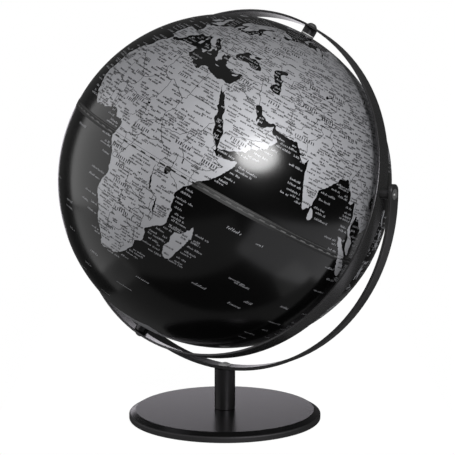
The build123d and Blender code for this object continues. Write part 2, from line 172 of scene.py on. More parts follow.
# Coasts, as pairs of longitude and latitude in degrees
land = {
    "africa": """
        -5.9 35.8 -5.3 35.9 -4.2 35.2 -2.9 35.3 -2 35.1 -0.6 35.8 1.3 36.5 3.1 36.8 5.1 36.8 7 36.9 7.8 37
        9.8 37.3 10.3 36.9 11 37 10.5 36.3 10.9 35.7 10.7 34.7 10.1 33.9 11.1 33.5 12.1 32.9 13.2 32.9
        15.1 32.4 15.5 31.5 16.6 31.2 18 30.7 19.2 30.3 20 30.9 20 32.1 20.8 32.7 21.6 32.9 22.7 32.8
        23.2 32.2 24 32.1 25.1 31.7 26 31.6 27.3 31.3 29 30.8 29.9 31.2 30.4 31.5 31 31.6 31.9 31.5
        32.3 31.2 32.5 29.9 32.4 29.6 32.7 29 33.1 28.4 33.8 27.2 34 26.7 34.3 26.1 34.9 25.1 35.4 24.2
        35.8 23.9 35.5 23.1 36.2 22.6 36.9 22 37.2 21 37.2 19.6 37.4 19 37.9 18.6 38.6 18 39 17 39.2 16.1
        39.5 15.5 39.8 14.9 40.9 14.3 41.7 13.3 42.4 12.5 42.7 12.2 43.2 11.8 43.3 11.2 42.6 10.8
        43.2 10.7 43.5 10.5 44.3 9.8 45 9.8 46.9 10.1 48.2 10.4 49.2 10.5 50.8 11.2 51.3 11 51.1 10.2
        51.3 9.7 51 9.6 50.8 8.8 49.9 7.5 49.1 6.4 48.5 5.3 47.9 4.5 46.4 2.9 45.4 2 44 1.1 42.5 -0.4
        41.6 -1.7 40.9 -2.3 40.2 -2.7 40.1 -3.2 39.7 -4 39.1 -5 38.8 -5.6 38.9 -6.4 39.5 -6.9 39.4 -7.6
        39.6 -8.5 39.5 -9 39.8 -10 40.5 -10.4 40.6 -10.8 40.4 -11.8 40.6 -12.9 40.6 -14 40.8 -14.8
        40.5 -15.4 39.9 -16.3 38.1 -17.3 37 -18 36.3 -18.8 34.9 -19.8 34.7 -20.5 35.1 -20.9 35.4 -21.3
        35.4 -22.4 35.6 -23.4 35.5 -24.1 34.8 -24.8 33.3 -25.3 32.7 -25.7 32.8 -26.2 32.9 -27 32.5 -28.3
        31.8 -29 31 -29.9 30.5 -30.8 29.6 -31.6 28.4 -32.6 27.1 -33.5 25.9 -33.8 25.6 -34.1 24.8 -34.2
        23.4 -34.1 22.1 -34.2 20.9 -34.4 20 -34.8 19.3 -34.6 18.9 -34.3 18.4 -34.3 18.3 -33.7 17.9 -32.9
        18.3 -32.3 18.2 -31.6 17.3 -30.3 16.8 -29.1 16.4 -28.5 15.3 -27.3 15.1 -26.6 14.7 -25.3 14.5 -24.4
        14.5 -22.9 14 -21.9 13 -20.2 12 -18.5 11.75 -17.2 11.8 -16.2 12.2 -15 12.5 -13.7 13.4 -12.5
        13.8 -11.2 13.9 -10.5 13.1 -9.3 13.3 -8.5 13 -7.6 12.5 -6.6 12.3 -6 12.2 -5.4 11.8 -4.7 10.9 -3.8
        10 -2.7 9.3 -1.9 8.8 -0.9 9.4 0 9.4 0.5 9.5 1.1 9.8 2.2 9.9 3 9.6 3.9 8.9 4.2 8.6 4.7 8.2 4.5
        7.2 4.4 6.1 4.3 5.4 5.1 5 5.9 4.3 6.3 3.4 6.4 2.4 6.3 1.2 6.1 0.9 5.8 -0.2 5.5 -1.3 5.1 -2.1 4.7
        -3.2 5.1 -4 5.2 -5.5 5.1 -6.6 4.7 -7.6 4.3 -8.5 4.7 -9.4 5.4 -10.8 6.3 -11.4 6.9 -12.5 7.4
        -13.2 8.4 -13.3 9.1 -13.8 9.7 -14.7 10.5 -15.1 11 -15.7 11.6 -16.7 12.3 -16.8 13.1 -16.7 13.8
        -17.1 14.6 -17.5 14.7 -16.9 15.3 -16.5 16.1 -16.1 17.1 -16.1 18.3 -16.5 19.4 -16.2 20.2 -17 20.9
        -17 21.6 -16.6 22.3 -16.1 23.4 -15.5 24.4 -14.7 25.8 -14.4 26.3 -13.6 26.8 -13.1 27.7 -11.6 28.4
        -10.5 29.1 -9.8 29.8 -9.6 30.4 -9.9 30.7 -9.8 31.5 -9.2 32.5 -8.5 33.3 -7.4 33.7 -6.5 34.3 -6 35.5
        """,
    "madagascar": """
        49.3 -12 49.8 -12.9 50.2 -14.5 50.5 -15.6 50.1 -16 49.7 -15.5 49.8 -16.8 49.4 -18.1 48.8 -19.9
        48.3 -21.3 47.8 -22.8 47.3 -24.4 46.9 -25.1 45.6 -25.6 44.6 -25.3 43.9 -24.5 43.7 -23.4 43.3 -22.2
        43.5 -21.3 44.4 -20.1 44.3 -19 44 -18.2 44.4 -17.1 44.5 -16.2 45.3 -16 46.3 -15.8 47 -15.3
        47.7 -14.6 48 -13.7 48.8 -13.2 48.9 -12.4
        """,
    "eurasia": """
        32.3 31.2 32.5 29.9 32.8 29.2 33.2 28.6 33.6 28.2 34.25 27.75 34.5 28.5 34.95 29.5 34.6 28.1
        35.6 27.4 36.4 26.2 37.2 25 38 24.1 38.9 22.9 39.1 21.6 39.6 20.6 40.7 19.8 41.2 18.8 41.8 17.7
        42.5 16.9 42.8 15.8 42.9 14.4 43.2 13.3 43.3 12.4 43.5 12 44.4 12 45 12.1 45.7 12.6 46.8 12.7
        48 13.2 49.1 13.7 50.3 14.3 52.2 15 52.4 15.9 53.5 16.8 54.9 17 55.4 17.8 56.4 17.9 57.2 18.8
        57.8 19 57.8 20.2 58.5 20.4 59 21.3 59.8 22.4 59.4 22.8 58.6 23.6 57.2 23.9 56.6 24.5 56.4 25.3
        56.4 26.3 56 25.9 54.5 25.2 53.5 24.3 52.2 24.1 51.1 24 50.7 24.6 50.9 25.3 50.6 26.1 50.2 25.7
        50.1 24.8 49.5 25.6 49.5 26.5 48.8 27.2 48.1 27.8 47.7 28.6 47.2 29.4 47.5 29.8 48.1 30.2
        49.2 30.2 49.7 29.7 50.2 28.9 50.7 27.9 51.8 27.5 53 26.7 54.2 26.5 56.3 27.1 56.95 26.9 57.2 26
        57.8 25.6 59.6 25.4 61.6 25.2 63 25.2 64.6 25.3 66.3 25.5 66.8 24.9 67.3 24.2 68.1 23.7 68.6 23
        69.4 22.8 70.4 23 70.4 22.6 69.2 22.4 69 22.2 69.6 21.5 70.3 20.9 71 20.7 71.9 21.1 72.2 21.8
        72.5 22.3 72.7 21.8 72.7 20.9 72.8 19.9 72.9 18.6 73.3 16.9 73.9 15.2 74.6 13.6 75.3 11.9
        75.9 10.8 76.4 9.3 77 8.3 77.6 8.1 78.1 8.6 78.3 9.1 79.2 9.3 79.1 9.8 79.9 10.3 79.8 11.6
        80.3 13.2 80.1 14.4 80.1 15.3 80.8 15.8 81.3 16.3 82.3 16.7 83.4 17.7 84.9 19.2 86 19.8 86.7 20.3
        86.9 21 87.3 21.5 88.1 21.7 89.1 21.7 90.2 21.9 90.6 22.5 91.3 22.6 91.8 22.2 92.3 20.9 92.9 20
        93.7 19.5 94.3 18.5 94.6 17 94.2 16 95.3 15.7 96.3 16.4 96.9 17.2 97.5 16.5 97.8 15 98.2 13.6
        98.6 12.2 98.6 10.4 98.2 8.5 98.7 8.2 99.3 7.4 100.2 6.4 100.4 5.4 100.6 4.2 101.3 2.9 102.3 2.1
        103.5 1.3 104.2 1.4 103.6 2.6 103.4 4 103.2 5.3 102.2 6.2 101.2 6.9 100.4 7.3 100.2 8.5 99.3 9.2
        99.2 10.4 99.8 11.8 100 13.3 100.9 13.4 100.9 12.6 102 12.6 102.8 11.7 103.4 10.8 104.4 10.4
        105 9.9 104.8 8.7 105.8 9.2 106.7 10.1 107.3 10.4 109 11.4 109.3 12.8 109.2 14 108.6 15.6
        107.6 16.6 106.5 17.7 105.7 18.9 106.2 20 106.9 20.9 108.2 21.5 109.5 21.4 109.7 20.4 110.4 20.4
        110.6 21.3 112 21.8 113.6 22.1 114.6 22.6 116.5 23.1 118 24.4 119.3 25.4 119.9 26.6 121 27.9
        121.9 29.2 122 30 121 30.4 121.9 31.1 121.8 31.8 120.9 32.7 120.3 34 119.3 34.9 120.2 36
        121.2 36.6 122.6 37 122.3 37.5 120.8 37.8 119.3 37.1 118.9 37.8 117.8 38.4 118 39.2 119.6 39.9
        121 40.8 122.1 40.5 121.4 39.5 121.3 38.8 122.7 39.5 124.3 39.9 125.3 39.4 125 38.6 124.9 38
        126.1 37.7 126.8 37.2 126.2 36.6 126.5 35.5 126.4 34.5 127.6 34.6 129.1 35.1 129.5 36.2 129.1 37.3
        128.3 38.6 127.4 39.3 127.7 39.9 129.3 40.7 129.8 41.7 130.8 42.3 132.3 43.1 133.5 42.8 135.4 44
        137 45.5 138.6 47.2 140.2 48.7 140.6 50.3 141.3 51.9 141.1 53 139.5 53.9 137.3 53.7 135.5 54.7
        137.5 55.8 139.5 57.2 142 59 145.5 59.4 148.8 59.4 151 59.4 153.5 59.2 155.2 59.4 154.4 59.9
        156.7 61.3 159.8 61.8 162.5 62.4 164.6 62.5 163.2 61.6 160.3 60.6 158.8 59 156.8 57.7 155.7 56.5
        155.6 54.5 156.1 52.5 156.8 51 158.2 51.9 159.9 53.2 161.9 54.6 162.3 56.1 163.2 57.7 162.2 58.3
        163.5 59.8 166 60.1 170.3 60 172.5 61 175 61.8 179.2 62.3 179.2 63.2 177.6 64.5 181 65.2
        183.8 65.4 187.5 64.3 190.2 66 188 67 184.5 67.3 181 68.8 176 69.8 171 70 170.4 69 167.5 69.6
        164.2 69.7 160.8 69.6 159.5 70.6 156 71 152 70.9 150 71.6 145.5 72.3 140.5 72.6 139 71.6
        134.5 71.5 131.3 70.8 129.2 71.3 129 72.6 126.5 73.5 123.3 72.9 119 73 114 73.6 110.5 74
        107.5 73.2 106.5 73.5 111 74.7 113.9 75.6 108 76.7 104.4 77.7 100.5 76.5 94 76.1 87 75 86 73.9
        81 73.6 80.5 72.3 82.8 71.3 80.5 72 78 72.3 75 72.8 74.8 71.5 73.2 71.6 73.8 69.2 73.5 67.7
        71.8 66.4 71.4 67.2 72.3 68.6 72.7 70.8 71.9 71.4 72.7 72.7 69.7 72.9 67 71.6 66.8 69.9 68.3 68.3
        64.9 69.2 60.8 69.8 59.5 68.5 57.5 68.7 54.5 68.3 53.2 68.8 49.5 68 46.5 68 46 66.9 44.2 67
        43.4 68.6 44 66.3 42 66.4 39.9 65.4 40.5 64.6 37.9 63.9 37 64.3 34.8 64.5 34.5 65.8 32.5 67.1
        34.8 66.5 38.3 66.1 41.2 66.8 40.6 67.7 36.5 69 33.2 69.4 31 69.6 28.5 71 25.8 71.1 21.5 70.2
        18.8 69.6 16.5 68.5 14.6 67.3 13 66.2 12.3 65.3 10.8 64.5 9.5 63.7 6.8 62.8 5.2 62.1 5 60.6
        5.3 59.2 5.6 58.6 7 58 8.3 58.2 9.6 58.9 10.5 59.4 11.2 58.9 11.8 57.6 12.7 56.5 12.9 55.5
        14.3 55.6 15.7 56.1 16.5 56.8 16.8 58.3 18.3 59.1 18.9 59.9 17.3 60.7 17.2 61.8 18 62.7 20.6 63.8
        21.5 64.8 22.2 65.6 24.3 65.7 25.3 65 23.2 64 21.3 63 21.4 61.8 21.4 60.8 22.9 59.9 25 60.1
        27.8 60.5 30 60 28.2 59.5 25.5 59.6 23.5 59.2 23.6 58.6 24.4 58.3 24.3 57.3 23.7 57 22.6 57.7
        21.5 57.4 21 56.2 21 55.3 19.9 54.6 18.8 54.4 18.3 54.8 16.5 54.5 14.3 53.9 13.2 54.6 11.5 54
        10 54.5 9.8 55.3 10.5 56.3 10.5 57.7 8.5 57 8.1 55.8 8.7 54.4 8.7 53.9 7 53.6 5 53.2 4.5 52.3
        3.5 51.4 1.7 50.9 1.5 50.1 0.2 49.6 -1.3 49.4 -1.8 49.7 -1.6 48.7 -3.2 48.8 -4.7 48.4 -4.3 47.8
        -2.6 47.4 -1.9 46.6 -1.1 45.7 -1.3 44.4 -1.7 43.4 -3.8 43.5 -5.8 43.6 -7.7 43.7 -9.2 43.1 -8.8 42
        -8.8 40.9 -9.4 39 -8.8 38 -8.9 37 -7.4 37.1 -6.4 36.7 -5.6 36 -4.6 36.6 -2.2 36.7 -0.8 37.7
        0.2 38.8 -0.3 39.5 0.7 40.7 2.1 41.3 3.2 42.2 3.1 43.2 4.6 43.4 6.2 43.1 7.5 43.8 8.9 44.4
        10.2 43.9 10.6 42.9 12.2 41.8 13.7 41.2 14.5 40.6 15.7 40 16.1 38.8 15.7 38 16.5 38.4 17.1 39
        16.6 39.7 17 40.5 18.3 39.9 18.4 40.3 16 41.5 16.1 41.9 14.8 42.1 13.6 43.5 12.4 44.3 12.3 45.3
        13.7 45.7 13.7 44.9 14.6 45.2 15.4 44 17.3 43.1 19 42.1 19.5 41.3 19.4 40.3 20.7 39 21.3 38.3
        21.2 37.7 21.7 36.9 22.5 36.5 23.1 36.5 22.9 37.4 23.4 37.4 23.2 37.9 24 37.7 24 38.3 22.9 39.1
        22.8 40.4 24.2 40.1 24 40.8 26 40.8 26.2 40.1 26.2 39.5 26.8 39 26.5 38.3 27.3 37.7 27.5 36.8
        29 36.4 30.5 36.4 30.8 36.9 32.2 36.2 33.7 36.2 34.9 36.7 36.1 36.6 35.8 35.6 35.9 34.5 35.2 33.2
        34.7 32 34.2 31.3
        """,
    "greatBritain": """
        -5.6 50.1 -3.6 50.2 -2 50.6 0.3 50.8 1.4 51.3 0.9 51.7 1.7 52.7 0.4 52.9 0 53.6 -1.2 54.6
        -1.7 55.6 -3 56 -2.2 57 -2 57.7 -4 57.6 -3.1 58.6 -5 58.5 -5.8 57.3 -5.6 56.2 -4.9 55.2 -5 54.7
        -3.4 54.9 -3 53.8 -3.2 53.4 -4.6 53.2 -4.1 52.5 -5.2 51.8 -3.2 51.4 -4.3 51.1
        """,
    "ireland": "-9.8 51.5 -6.4 52.2 -6 53.4 -5.6 54.6 -7.3 55.3 -8.5 54.4 -10 54.2 -9.2 53.1 -10.3 52.2",
    "iceland": """
        -22.6 63.9 -18.8 63.4 -15 64.3 -13.6 65.1 -15 66.3 -18.2 66.1 -20.3 65.8 -22.3 66.4 -24.3 65.6
        -22.2 65.2 -23.8 64.8 -21.9 64.4
        """,
    "svalbard": "11.2 79.4 16 80 27 80.1 21.5 78.6 18.5 77 16.7 76.6 13.8 77.7",
    "novayaZemlya": """
        51.6 71.6 53.5 73.2 55.8 75.1 60.5 76.2 68.5 77 66 75.9 60 74.9 56 73.2 57.4 70.7 54 70.8
        """,
    "severnayaZemlya": "95.5 79 97 80.9 104.5 79 103 78.2",
    "newSiberia": "137.5 75.3 141 76.1 150 75.2 142.5 73.6",
    "wrangel": "178.7 71 181.5 71.5 182.4 71.1 180 70.8",
    "sardinia": "8.4 39 9.6 39.2 9.7 40.7 9.2 41.2 8.2 40.8",
    "corsica": "9.2 41.4 9.5 42.2 9.4 43 8.6 42.3",
    "sicily": "12.5 37.8 15.6 38.2 15.1 36.7",
    "crete": "23.6 35.4 26.3 35.2 24.8 34.9",
    "cyprus": "32.3 34.9 33 35.3 34.5 35.7 33.9 34.9 32.8 34.6",
    "majorca": "2.4 39.6 3.1 39.9 3.3 39.4",
    "zealand": "11.1 55.7 12.6 56 12.3 55.2 11.3 55.2",
    "gotland": "18.1 57.3 18.8 57.9 18.7 57.4",
    "ceylon": "79.8 7.6 79.9 9.7 80.8 9.3 81.3 8.5 81.9 7.3 81.6 6.4 80.6 5.95 80 6.3",
    "sumatra": """
        95.3 5.6 97.5 5.2 98.7 3.8 100.4 2.4 102.5 0.9 103.7 -0.9 104.5 -1.9 106 -3.1 105.8 -5.8
        104.5 -5.8 102.3 -4 100.4 -1 98.9 1.5 97 3.2
        """,
    "java": """
        105.3 -6.8 106.2 -6 108.4 -6.4 110.9 -6.4 112.7 -6.9 114.5 -7.8 114.4 -8.6 111 -8.2 108.5 -7.8
        106.4 -7.4
        """,
    "sumbawa": "116 -8.4 119 -8.3 118.8 -8.8 116.3 -8.9",
    "flores": "119.9 -8.4 122.9 -8.1 122.6 -8.7 120 -8.8",
    "timor": "123.6 -10.3 125.1 -8.7 127.2 -8.4 125.5 -9.5",
    "borneo": """
        109 1.5 109.7 2 111.3 2.6 113 3.2 115 5 116.8 6.9 119.2 5.2 118 4.2 117.9 2 119 1 117.4 0.1
        116.4 -2 116.1 -4 114.5 -4 113 -3.2 111.7 -3.4 110.2 -2.8 110 -1.3 109.1 0.2
        """,
    "celebes": """
        119.4 -3.4 119.5 -5.5 120.4 -5.5 120.4 -3 121.5 -4.6 122.8 -4.2 121.6 -2 123.3 -0.9 120.8 -1.3
        120.1 0.4 123 0.4 125.2 1.6 121 1.3 119.8 0.3 119.2 -2
        """,
    "moluccas": "127.6 1 128 2.2 128.7 1.2 128.3 -0.8",
    "ceram": "128 -3.2 130.8 -3.1 129.8 -3.6",
    "newGuinea": """
        131 -0.8 134.1 -0.8 134.9 -3.3 137 -1.6 140 -2.4 144.5 -3.8 145.8 -5.4 147.8 -6.2 147 -6.9
        148.5 -9 150.8 -10.3 149.5 -10.3 147.2 -9.5 144.8 -7.7 142.8 -9.2 140.5 -8.3 138 -8.4 138.9 -7.2
        137.8 -5.2 135.2 -4.4 132.9 -4 132.8 -2.8 133.7 -2.3 131 -1.5
        """,
    "newBritain": "148.4 -5.7 150.8 -5.4 152.1 -4.2 152.2 -5 150 -6.3",
    "solomons": "154.7 -5.5 157.5 -7.4 160.8 -9 161.5 -10.3 157 -8.4",
    "luzon": "120 15.5 120.6 18.5 122.2 18.5 121.6 15.6 124 12.7 122 13.8 120.6 14",
    "mindanao": "122 6.9 123.4 8.6 125.5 9.8 126.5 7.3 125.5 5.6 124 6.5",
    "visayas": "122 11.7 124.5 12.4 125.6 11.2 125.1 10.1 123 9.1",
    "palawan": "117.2 8.4 119.5 11.3 119.4 10.3",
    "formosa": "120.1 23 121.1 25.1 122 25 120.9 21.9",
    "hainan": "108.7 19.3 110.2 20.1 111 19.7 109.8 18.3",
    "kyushu": "129.7 33 131 33.9 132 33 131.3 31.4 130.2 31.3",
    "shikoku": "132.4 33.4 134.5 34.2 134.3 33.5 133 32.8",
    "honshu": """
        131 34.3 132.7 35.5 135.6 35.6 137 37.4 137.2 36.8 138.8 37.8 139.9 39.3 140.3 41.1 141.4 41.4
        142 39.6 141 38.2 140.9 36 139.8 35 138.2 34.6 136.9 34.4 135.8 33.5 135 34.6 132.3 34
        """,
    "hokkaido": "140 41.6 140.4 43.2 141.7 45.4 143.6 44.2 145.4 43.4 143.3 42 141.3 42.4",
    "sakhalin": "142 46 142.1 50.5 141.8 53.2 142.8 54.2 143.3 52 144.6 49 143 47.4 143.4 46.2",
    "australia": """
        142.5 -10.7 143.6 -14.2 145.3 -15.4 146.2 -18.6 148.6 -20.3 150.8 -23.2 153.1 -25.6 153.6 -28.5
        152.8 -31.7 151.3 -33.6 150 -37.2 147.6 -38 146.3 -39.1 144.6 -38.3 143.5 -38.8 140.5 -38
        139.4 -36 138.2 -35.6 138.4 -34.4 137.5 -35.1 137.8 -32.8 135.9 -34.8 134.2 -32.7 131.2 -31.5
        128 -32 124.2 -33 123.4 -33.9 120 -33.9 118 -35 115.1 -34.3 115.7 -31.8 114.7 -29 113.4 -26.2
        113.7 -22.8 114.2 -21.9 116.8 -20.6 119 -20 121.6 -18.8 122.3 -17.5 124.2 -16.2 126 -14.2
        127.8 -14.3 129.5 -14.9 130.8 -12.4 132.6 -11.4 135.5 -12.1 136.8 -12.2 135.6 -14.9 137.6 -16.1
        139.3 -17.4 140.9 -17.3 141.6 -14.5 141.7 -12.7
        """,
    "tasmania": "144.7 -40.8 148.3 -40.9 148 -42.9 146.7 -43.6 145.3 -42.3",
    "northIsland": "172.7 -34.5 175.5 -36.7 178.5 -37.7 177 -39.5 175.2 -41.6 173.8 -39.3 174.7 -38",
    "southIsland": """
        172.7 -40.6 174.2 -41.7 172.8 -43.8 170.6 -45.9 168.4 -46.6 166.5 -45.9 168.6 -44 171.3 -42.3
        """,
    "newCaledonia": "164.1 -20.2 167 -22.3 165.8 -21.7",
    "northAmerica": """
        -168 65.6 -162.5 66.6 -166.5 68.4 -163 69.6 -156.6 71.3 -150.5 70.5 -141 69.6 -135 69.4
        -128.3 70.2 -124.5 70 -115.3 67.9 -108 67.7 -101.5 67.8 -96 68.2 -94.5 71.9 -91.5 69.6 -87.5 67.8
        -85.5 69.7 -81.5 69.3 -82 67.2 -86.5 66.4 -87.5 64.3 -92 62.5 -94.6 60.5 -94.7 58.8 -92.7 57
        -88 56.5 -82.3 55.2 -82.2 53 -80 51.3 -78.8 52.5 -79.5 54.7 -76.7 56.5 -78.4 58.8 -77.5 62.5
        -73.7 62.4 -70 61 -69.5 58.9 -66 58.8 -64.5 60.2 -61.7 57 -57.5 54.4 -55.8 52.4 -60 50.2
        -66.5 50.2 -69.3 48.3 -64.5 49 -65 47.1 -61.2 45.5 -65.8 43.5 -64.8 45.4 -67.2 44.7 -70.2 43.6
        -70.7 42.5 -70 41.7 -73.9 40.6 -75 38.9 -76 36.9 -75.6 35.3 -78 33.9 -81 32 -81.3 30 -80.2 26.5
        -80.6 25.2 -81.9 26.2 -82.8 28 -84 30.1 -85.4 29.7 -88 30.3 -89.5 29.1 -91.5 29.5 -94.8 29.4
        -97.3 27.6 -97.8 22.6 -96.2 19.3 -94.5 18.2 -91.8 18.6 -90.4 20.9 -87 21.5 -87.7 19 -88.9 15.9
        -86 15.9 -83.3 15 -83.7 11 -82 9.1 -79.6 9.5 -77.3 8.6 -77.9 7.3 -79.5 8.9 -81.7 7.4 -83.7 8.6
        -85.8 10 -87.6 12.9 -91.5 14 -94.5 16.2 -96.8 15.8 -101.8 17.8 -105.5 20.3 -105.7 22.5 -109.3 25.7
        -112.3 29 -114.7 31.5 -112.8 28.2 -109.6 23.1 -112.2 24.8 -115 27.8 -116 30.3 -117.2 32.7
        -118.5 34 -120.6 34.6 -122.5 37.6 -124.3 40.4 -124.1 44 -124.6 48.3 -122.6 47.6 -123.2 49.1
        -127.5 51 -130.3 54.5 -133.5 57 -136.3 58.2 -140 59.6 -145 60.4 -151.8 59.2 -151.2 60.9 -154 59.2
        -158 56.5 -164.6 54.6 -160.5 55.9 -157.5 58.5 -162 58.7 -166 61.6 -164.5 63.1 -161 64.4
        -166.3 64.6
        """,
    "greenland": """
        -73 78.2 -65.5 81 -55 82.2 -33 83.6 -22 82.4 -17.5 80 -19.8 76 -22 72 -26.5 68.6 -36.5 66 -41 64
        -43.8 59.9 -48.5 61 -52 64.2 -53.7 67 -51.2 69.6 -54.6 70.9 -58 75.3 -66 76.2 -71 77
        """,
    "baffin": """
        -61.6 66.6 -65.5 62 -72 64 -73 67.6 -78.5 69.8 -88 71 -89.5 73.6 -80.5 73.7 -72 71.6 -66 69.3
        """,
    "ellesmere": "-80 76.3 -76 79 -64 81.8 -70 83.1 -91 81.2 -86 79 -89 76.6",
    "victoria": "-117 70 -105.5 69 -105 71.6 -108.5 73.1 -118 72.2",
    "banks": "-125.3 72 -124 74.2 -118 73.4 -121 71.5",
    "melville": "-117 75.2 -115 76.4 -106 75.8 -108 74.9",
    "devon": "-96 76.6 -80.5 75.6 -81 74.6 -92 74.8",
    "southampton": "-87 63.7 -85 65.9 -80.5 64 -83.5 62.9",
    "newfoundland": "-59.3 47.7 -53.3 46.8 -52.8 48.2 -55.6 51.5",
    "vancouver": "-128.3 50.7 -125.2 50.1 -123.4 48.4 -125.6 48.8",
    "cuba": "-84.8 21.9 -82.5 23.1 -79.5 22.6 -75 20.9 -74.2 20.2 -77.5 19.9 -78.2 20.8 -82 22.3",
    "hispaniola": "-74.4 18.5 -73 19.9 -70 19.7 -68.4 18.6 -71.5 17.8",
    "jamaica": "-78.3 18.3 -76.3 18.2 -77.2 17.8",
    "puertoRico": "-67.2 18.4 -65.7 18.4 -65.9 18 -67.2 18",
    "southAmerica": """
        -77.4 8.6 -75.5 10.6 -74.8 11.1 -71.8 12.4 -71.4 11 -70 12.1 -68.2 10.6 -64.5 10.2 -62 10.7
        -60.8 9.2 -57.5 6.3 -54 5.8 -51.6 4.3 -50 1 -48.5 -0.7 -44.3 -2.6 -41.5 -2.9 -38.5 -3.7 -35.4 -5.2
        -34.8 -7.5 -35.3 -9.3 -37.3 -11.6 -38.8 -13.2 -39.2 -17.6 -40.8 -21.3 -42 -22.9 -44.7 -23.2
        -46.6 -24.2 -48.6 -26 -48.8 -28.5 -50.5 -30.6 -52.3 -32.4 -54.9 -34.9 -58.3 -34.1 -56.8 -36.5
        -57.7 -38.2 -62 -39 -65 -41 -63.8 -42.6 -65.4 -44.8 -67.5 -46.2 -65.9 -47.7 -69 -50.6 -68.4 -52.4
        -65.3 -54.7 -68.8 -55.2 -71.5 -54 -75 -51.5 -75.5 -48.4 -74 -45 -73.8 -41.8 -73.4 -38.5
        -71.6 -32.8 -71.3 -29.3 -70.4 -25 -70.2 -19 -73 -16.6 -76.3 -13.8 -77.3 -11.8 -79.6 -7.4 -81.3 -5
        -80.2 -3.2 -80.8 -2 -80 0.6 -78.9 1.5 -77.2 3.9 -77.5 6.5
        """,
    "falklands": "-61 -51.8 -58 -51.5 -59.2 -52.3",
    "antarctica": """
        -180 -78.2 -165 -78.4 -158 -77.4 -147 -75.6 -135 -74.5 -120 -74 -105 -74.8 -101 -73 -90 -73
        -80 -73.6 -74 -71.8 -68 -68.6 -65 -65.8 -60 -63.6 -57 -63.3 -60.5 -65 -62.5 -68.5 -61 -73.5
        -66 -77 -55 -78 -40 -78 -30 -76 -25 -74.3 -15 -72.6 -8 -70.6 5 -70 15 -70 25 -70.2 33 -68.6
        40 -69.2 48 -67.5 55 -66 65 -67.6 70 -69.8 78 -69 88 -66.8 100 -65.8 112 -66 125 -66.3 135 -66.1
        145 -67 155 -69 165 -70.6 171 -71.6 168 -74.5 164.5 -77.6 172 -78.2 180 -78.2 180 -90 -180 -90
        """,
}
water = {
    "blackSea": """
        28.2 41.3 26.9 42.5 27.2 43.4 27.8 44.2 28.8 45 29.9 46.4 31.1 46.4 32.6 46 31.7 45.4 32.6 44.6
        33.4 44.5 34.5 45 35.7 45.1 36.9 44.7 38.3 44 40.1 43 40.7 42.2 40.6 41.5 38.8 41 37.3 41
        35.5 41.3 34.2 42 32.5 42 30.6 41.4
        """,
    "azov": "35.6 45.4 34.3 45.5 34.1 46.2 36.3 46.8 38.3 47.2 37.3 46.5 36.8 45.6",
    "marmara": "27 40.5 27.6 41 28.9 41 29.3 40.7 27.9 40.4",
    "caspian": """
        46.5 45.6 48.2 46.3 50.3 47 52 46.9 52.1 45.6 50.5 45.2 49.5 44.4 50.1 43.4 51.6 42.6 51.6 41.6
        52 40.8 52 40 52.6 39.2 52.9 37.4 53 36.9 51 36.7 49.2 37.2 48 37.6 48 38.6 48.4 39.4 49.4 40.3
        48.3 40.8 47.4 42 46.5 43 46.5 43.9 45.8 44.7
        """,
    "balkhash": "73.6 45.6 74.2 46.6 79.2 46.8 76 46.3 74.4 45.1",
    "baikal": "103.8 51.6 106 53 108.4 54.5 109.4 55.8 109.8 55.2 108.4 53.4 105.5 51.8",
    "ladoga": "30.9 60.1 30.4 61.1 31.2 61.6 32.8 60.8 32.4 60.2",
    "onega": "34.6 61.6 35 62.5 36.2 61.4 35.6 60.9",
    "vanern": "12.5 58.6 13.3 59.3 14 58.7",
    "victoria": "32.2 -1 32.5 0.1 33.6 0.3 34.5 -0.2 34.3 -1.2 33.6 -2.3 32.6 -2.4",
    "tanganyika": "29.2 -3.4 29.6 -4.6 30.4 -6.8 31.2 -8.6 30.6 -8.5 29.8 -7 29.3 -5.6",
    "nyasa": "34 -9.6 34.6 -10.6 34.9 -12.6 35.1 -14.2 34.6 -13.8 34.3 -12.3",
    "turkana": "36 4.4 36.3 4.3 36.6 2.6 36.1 2.9",
    "chad": "13.8 13.3 14.8 13.6 15 12.9 14.2 12.7",
    "kivu": "30.5 1.2 31.3 2.2 31.1 1.6",
    "tonle": "103.6 13.2 104.6 12.5 104.2 12.6",
    "superior": "-92 46.8 -88.4 48.7 -84.7 46.8 -87.5 46.5",
    "michigan": "-87.7 42 -87.6 44.3 -85.3 45.9 -86.4 43.6 -86.6 41.9",
    "huron": "-84.2 46 -80.4 45.4 -81.6 43.2 -83.4 43.9",
    "erie": "-83.2 41.8 -79 42.8 -81.5 41.5",
    "ontario": "-79.7 43.3 -76.3 44.1 -76.5 43.5",
    "winnipeg": "-98.8 53.6 -97 52 -96.3 50.7 -98 51.8",
    "greatSlave": "-116.5 61.1 -112 62.4 -110 62.7 -113.5 61",
    "greatBear": "-124.5 66 -119.5 66.9 -118 65.8 -121.5 65.3",
    "titicaca": "-70 -15.4 -69 -16.4 -69.3 -15.8",
    "maracaibo": "-71.7 10.6 -71 9.6 -71.8 9.3",
}


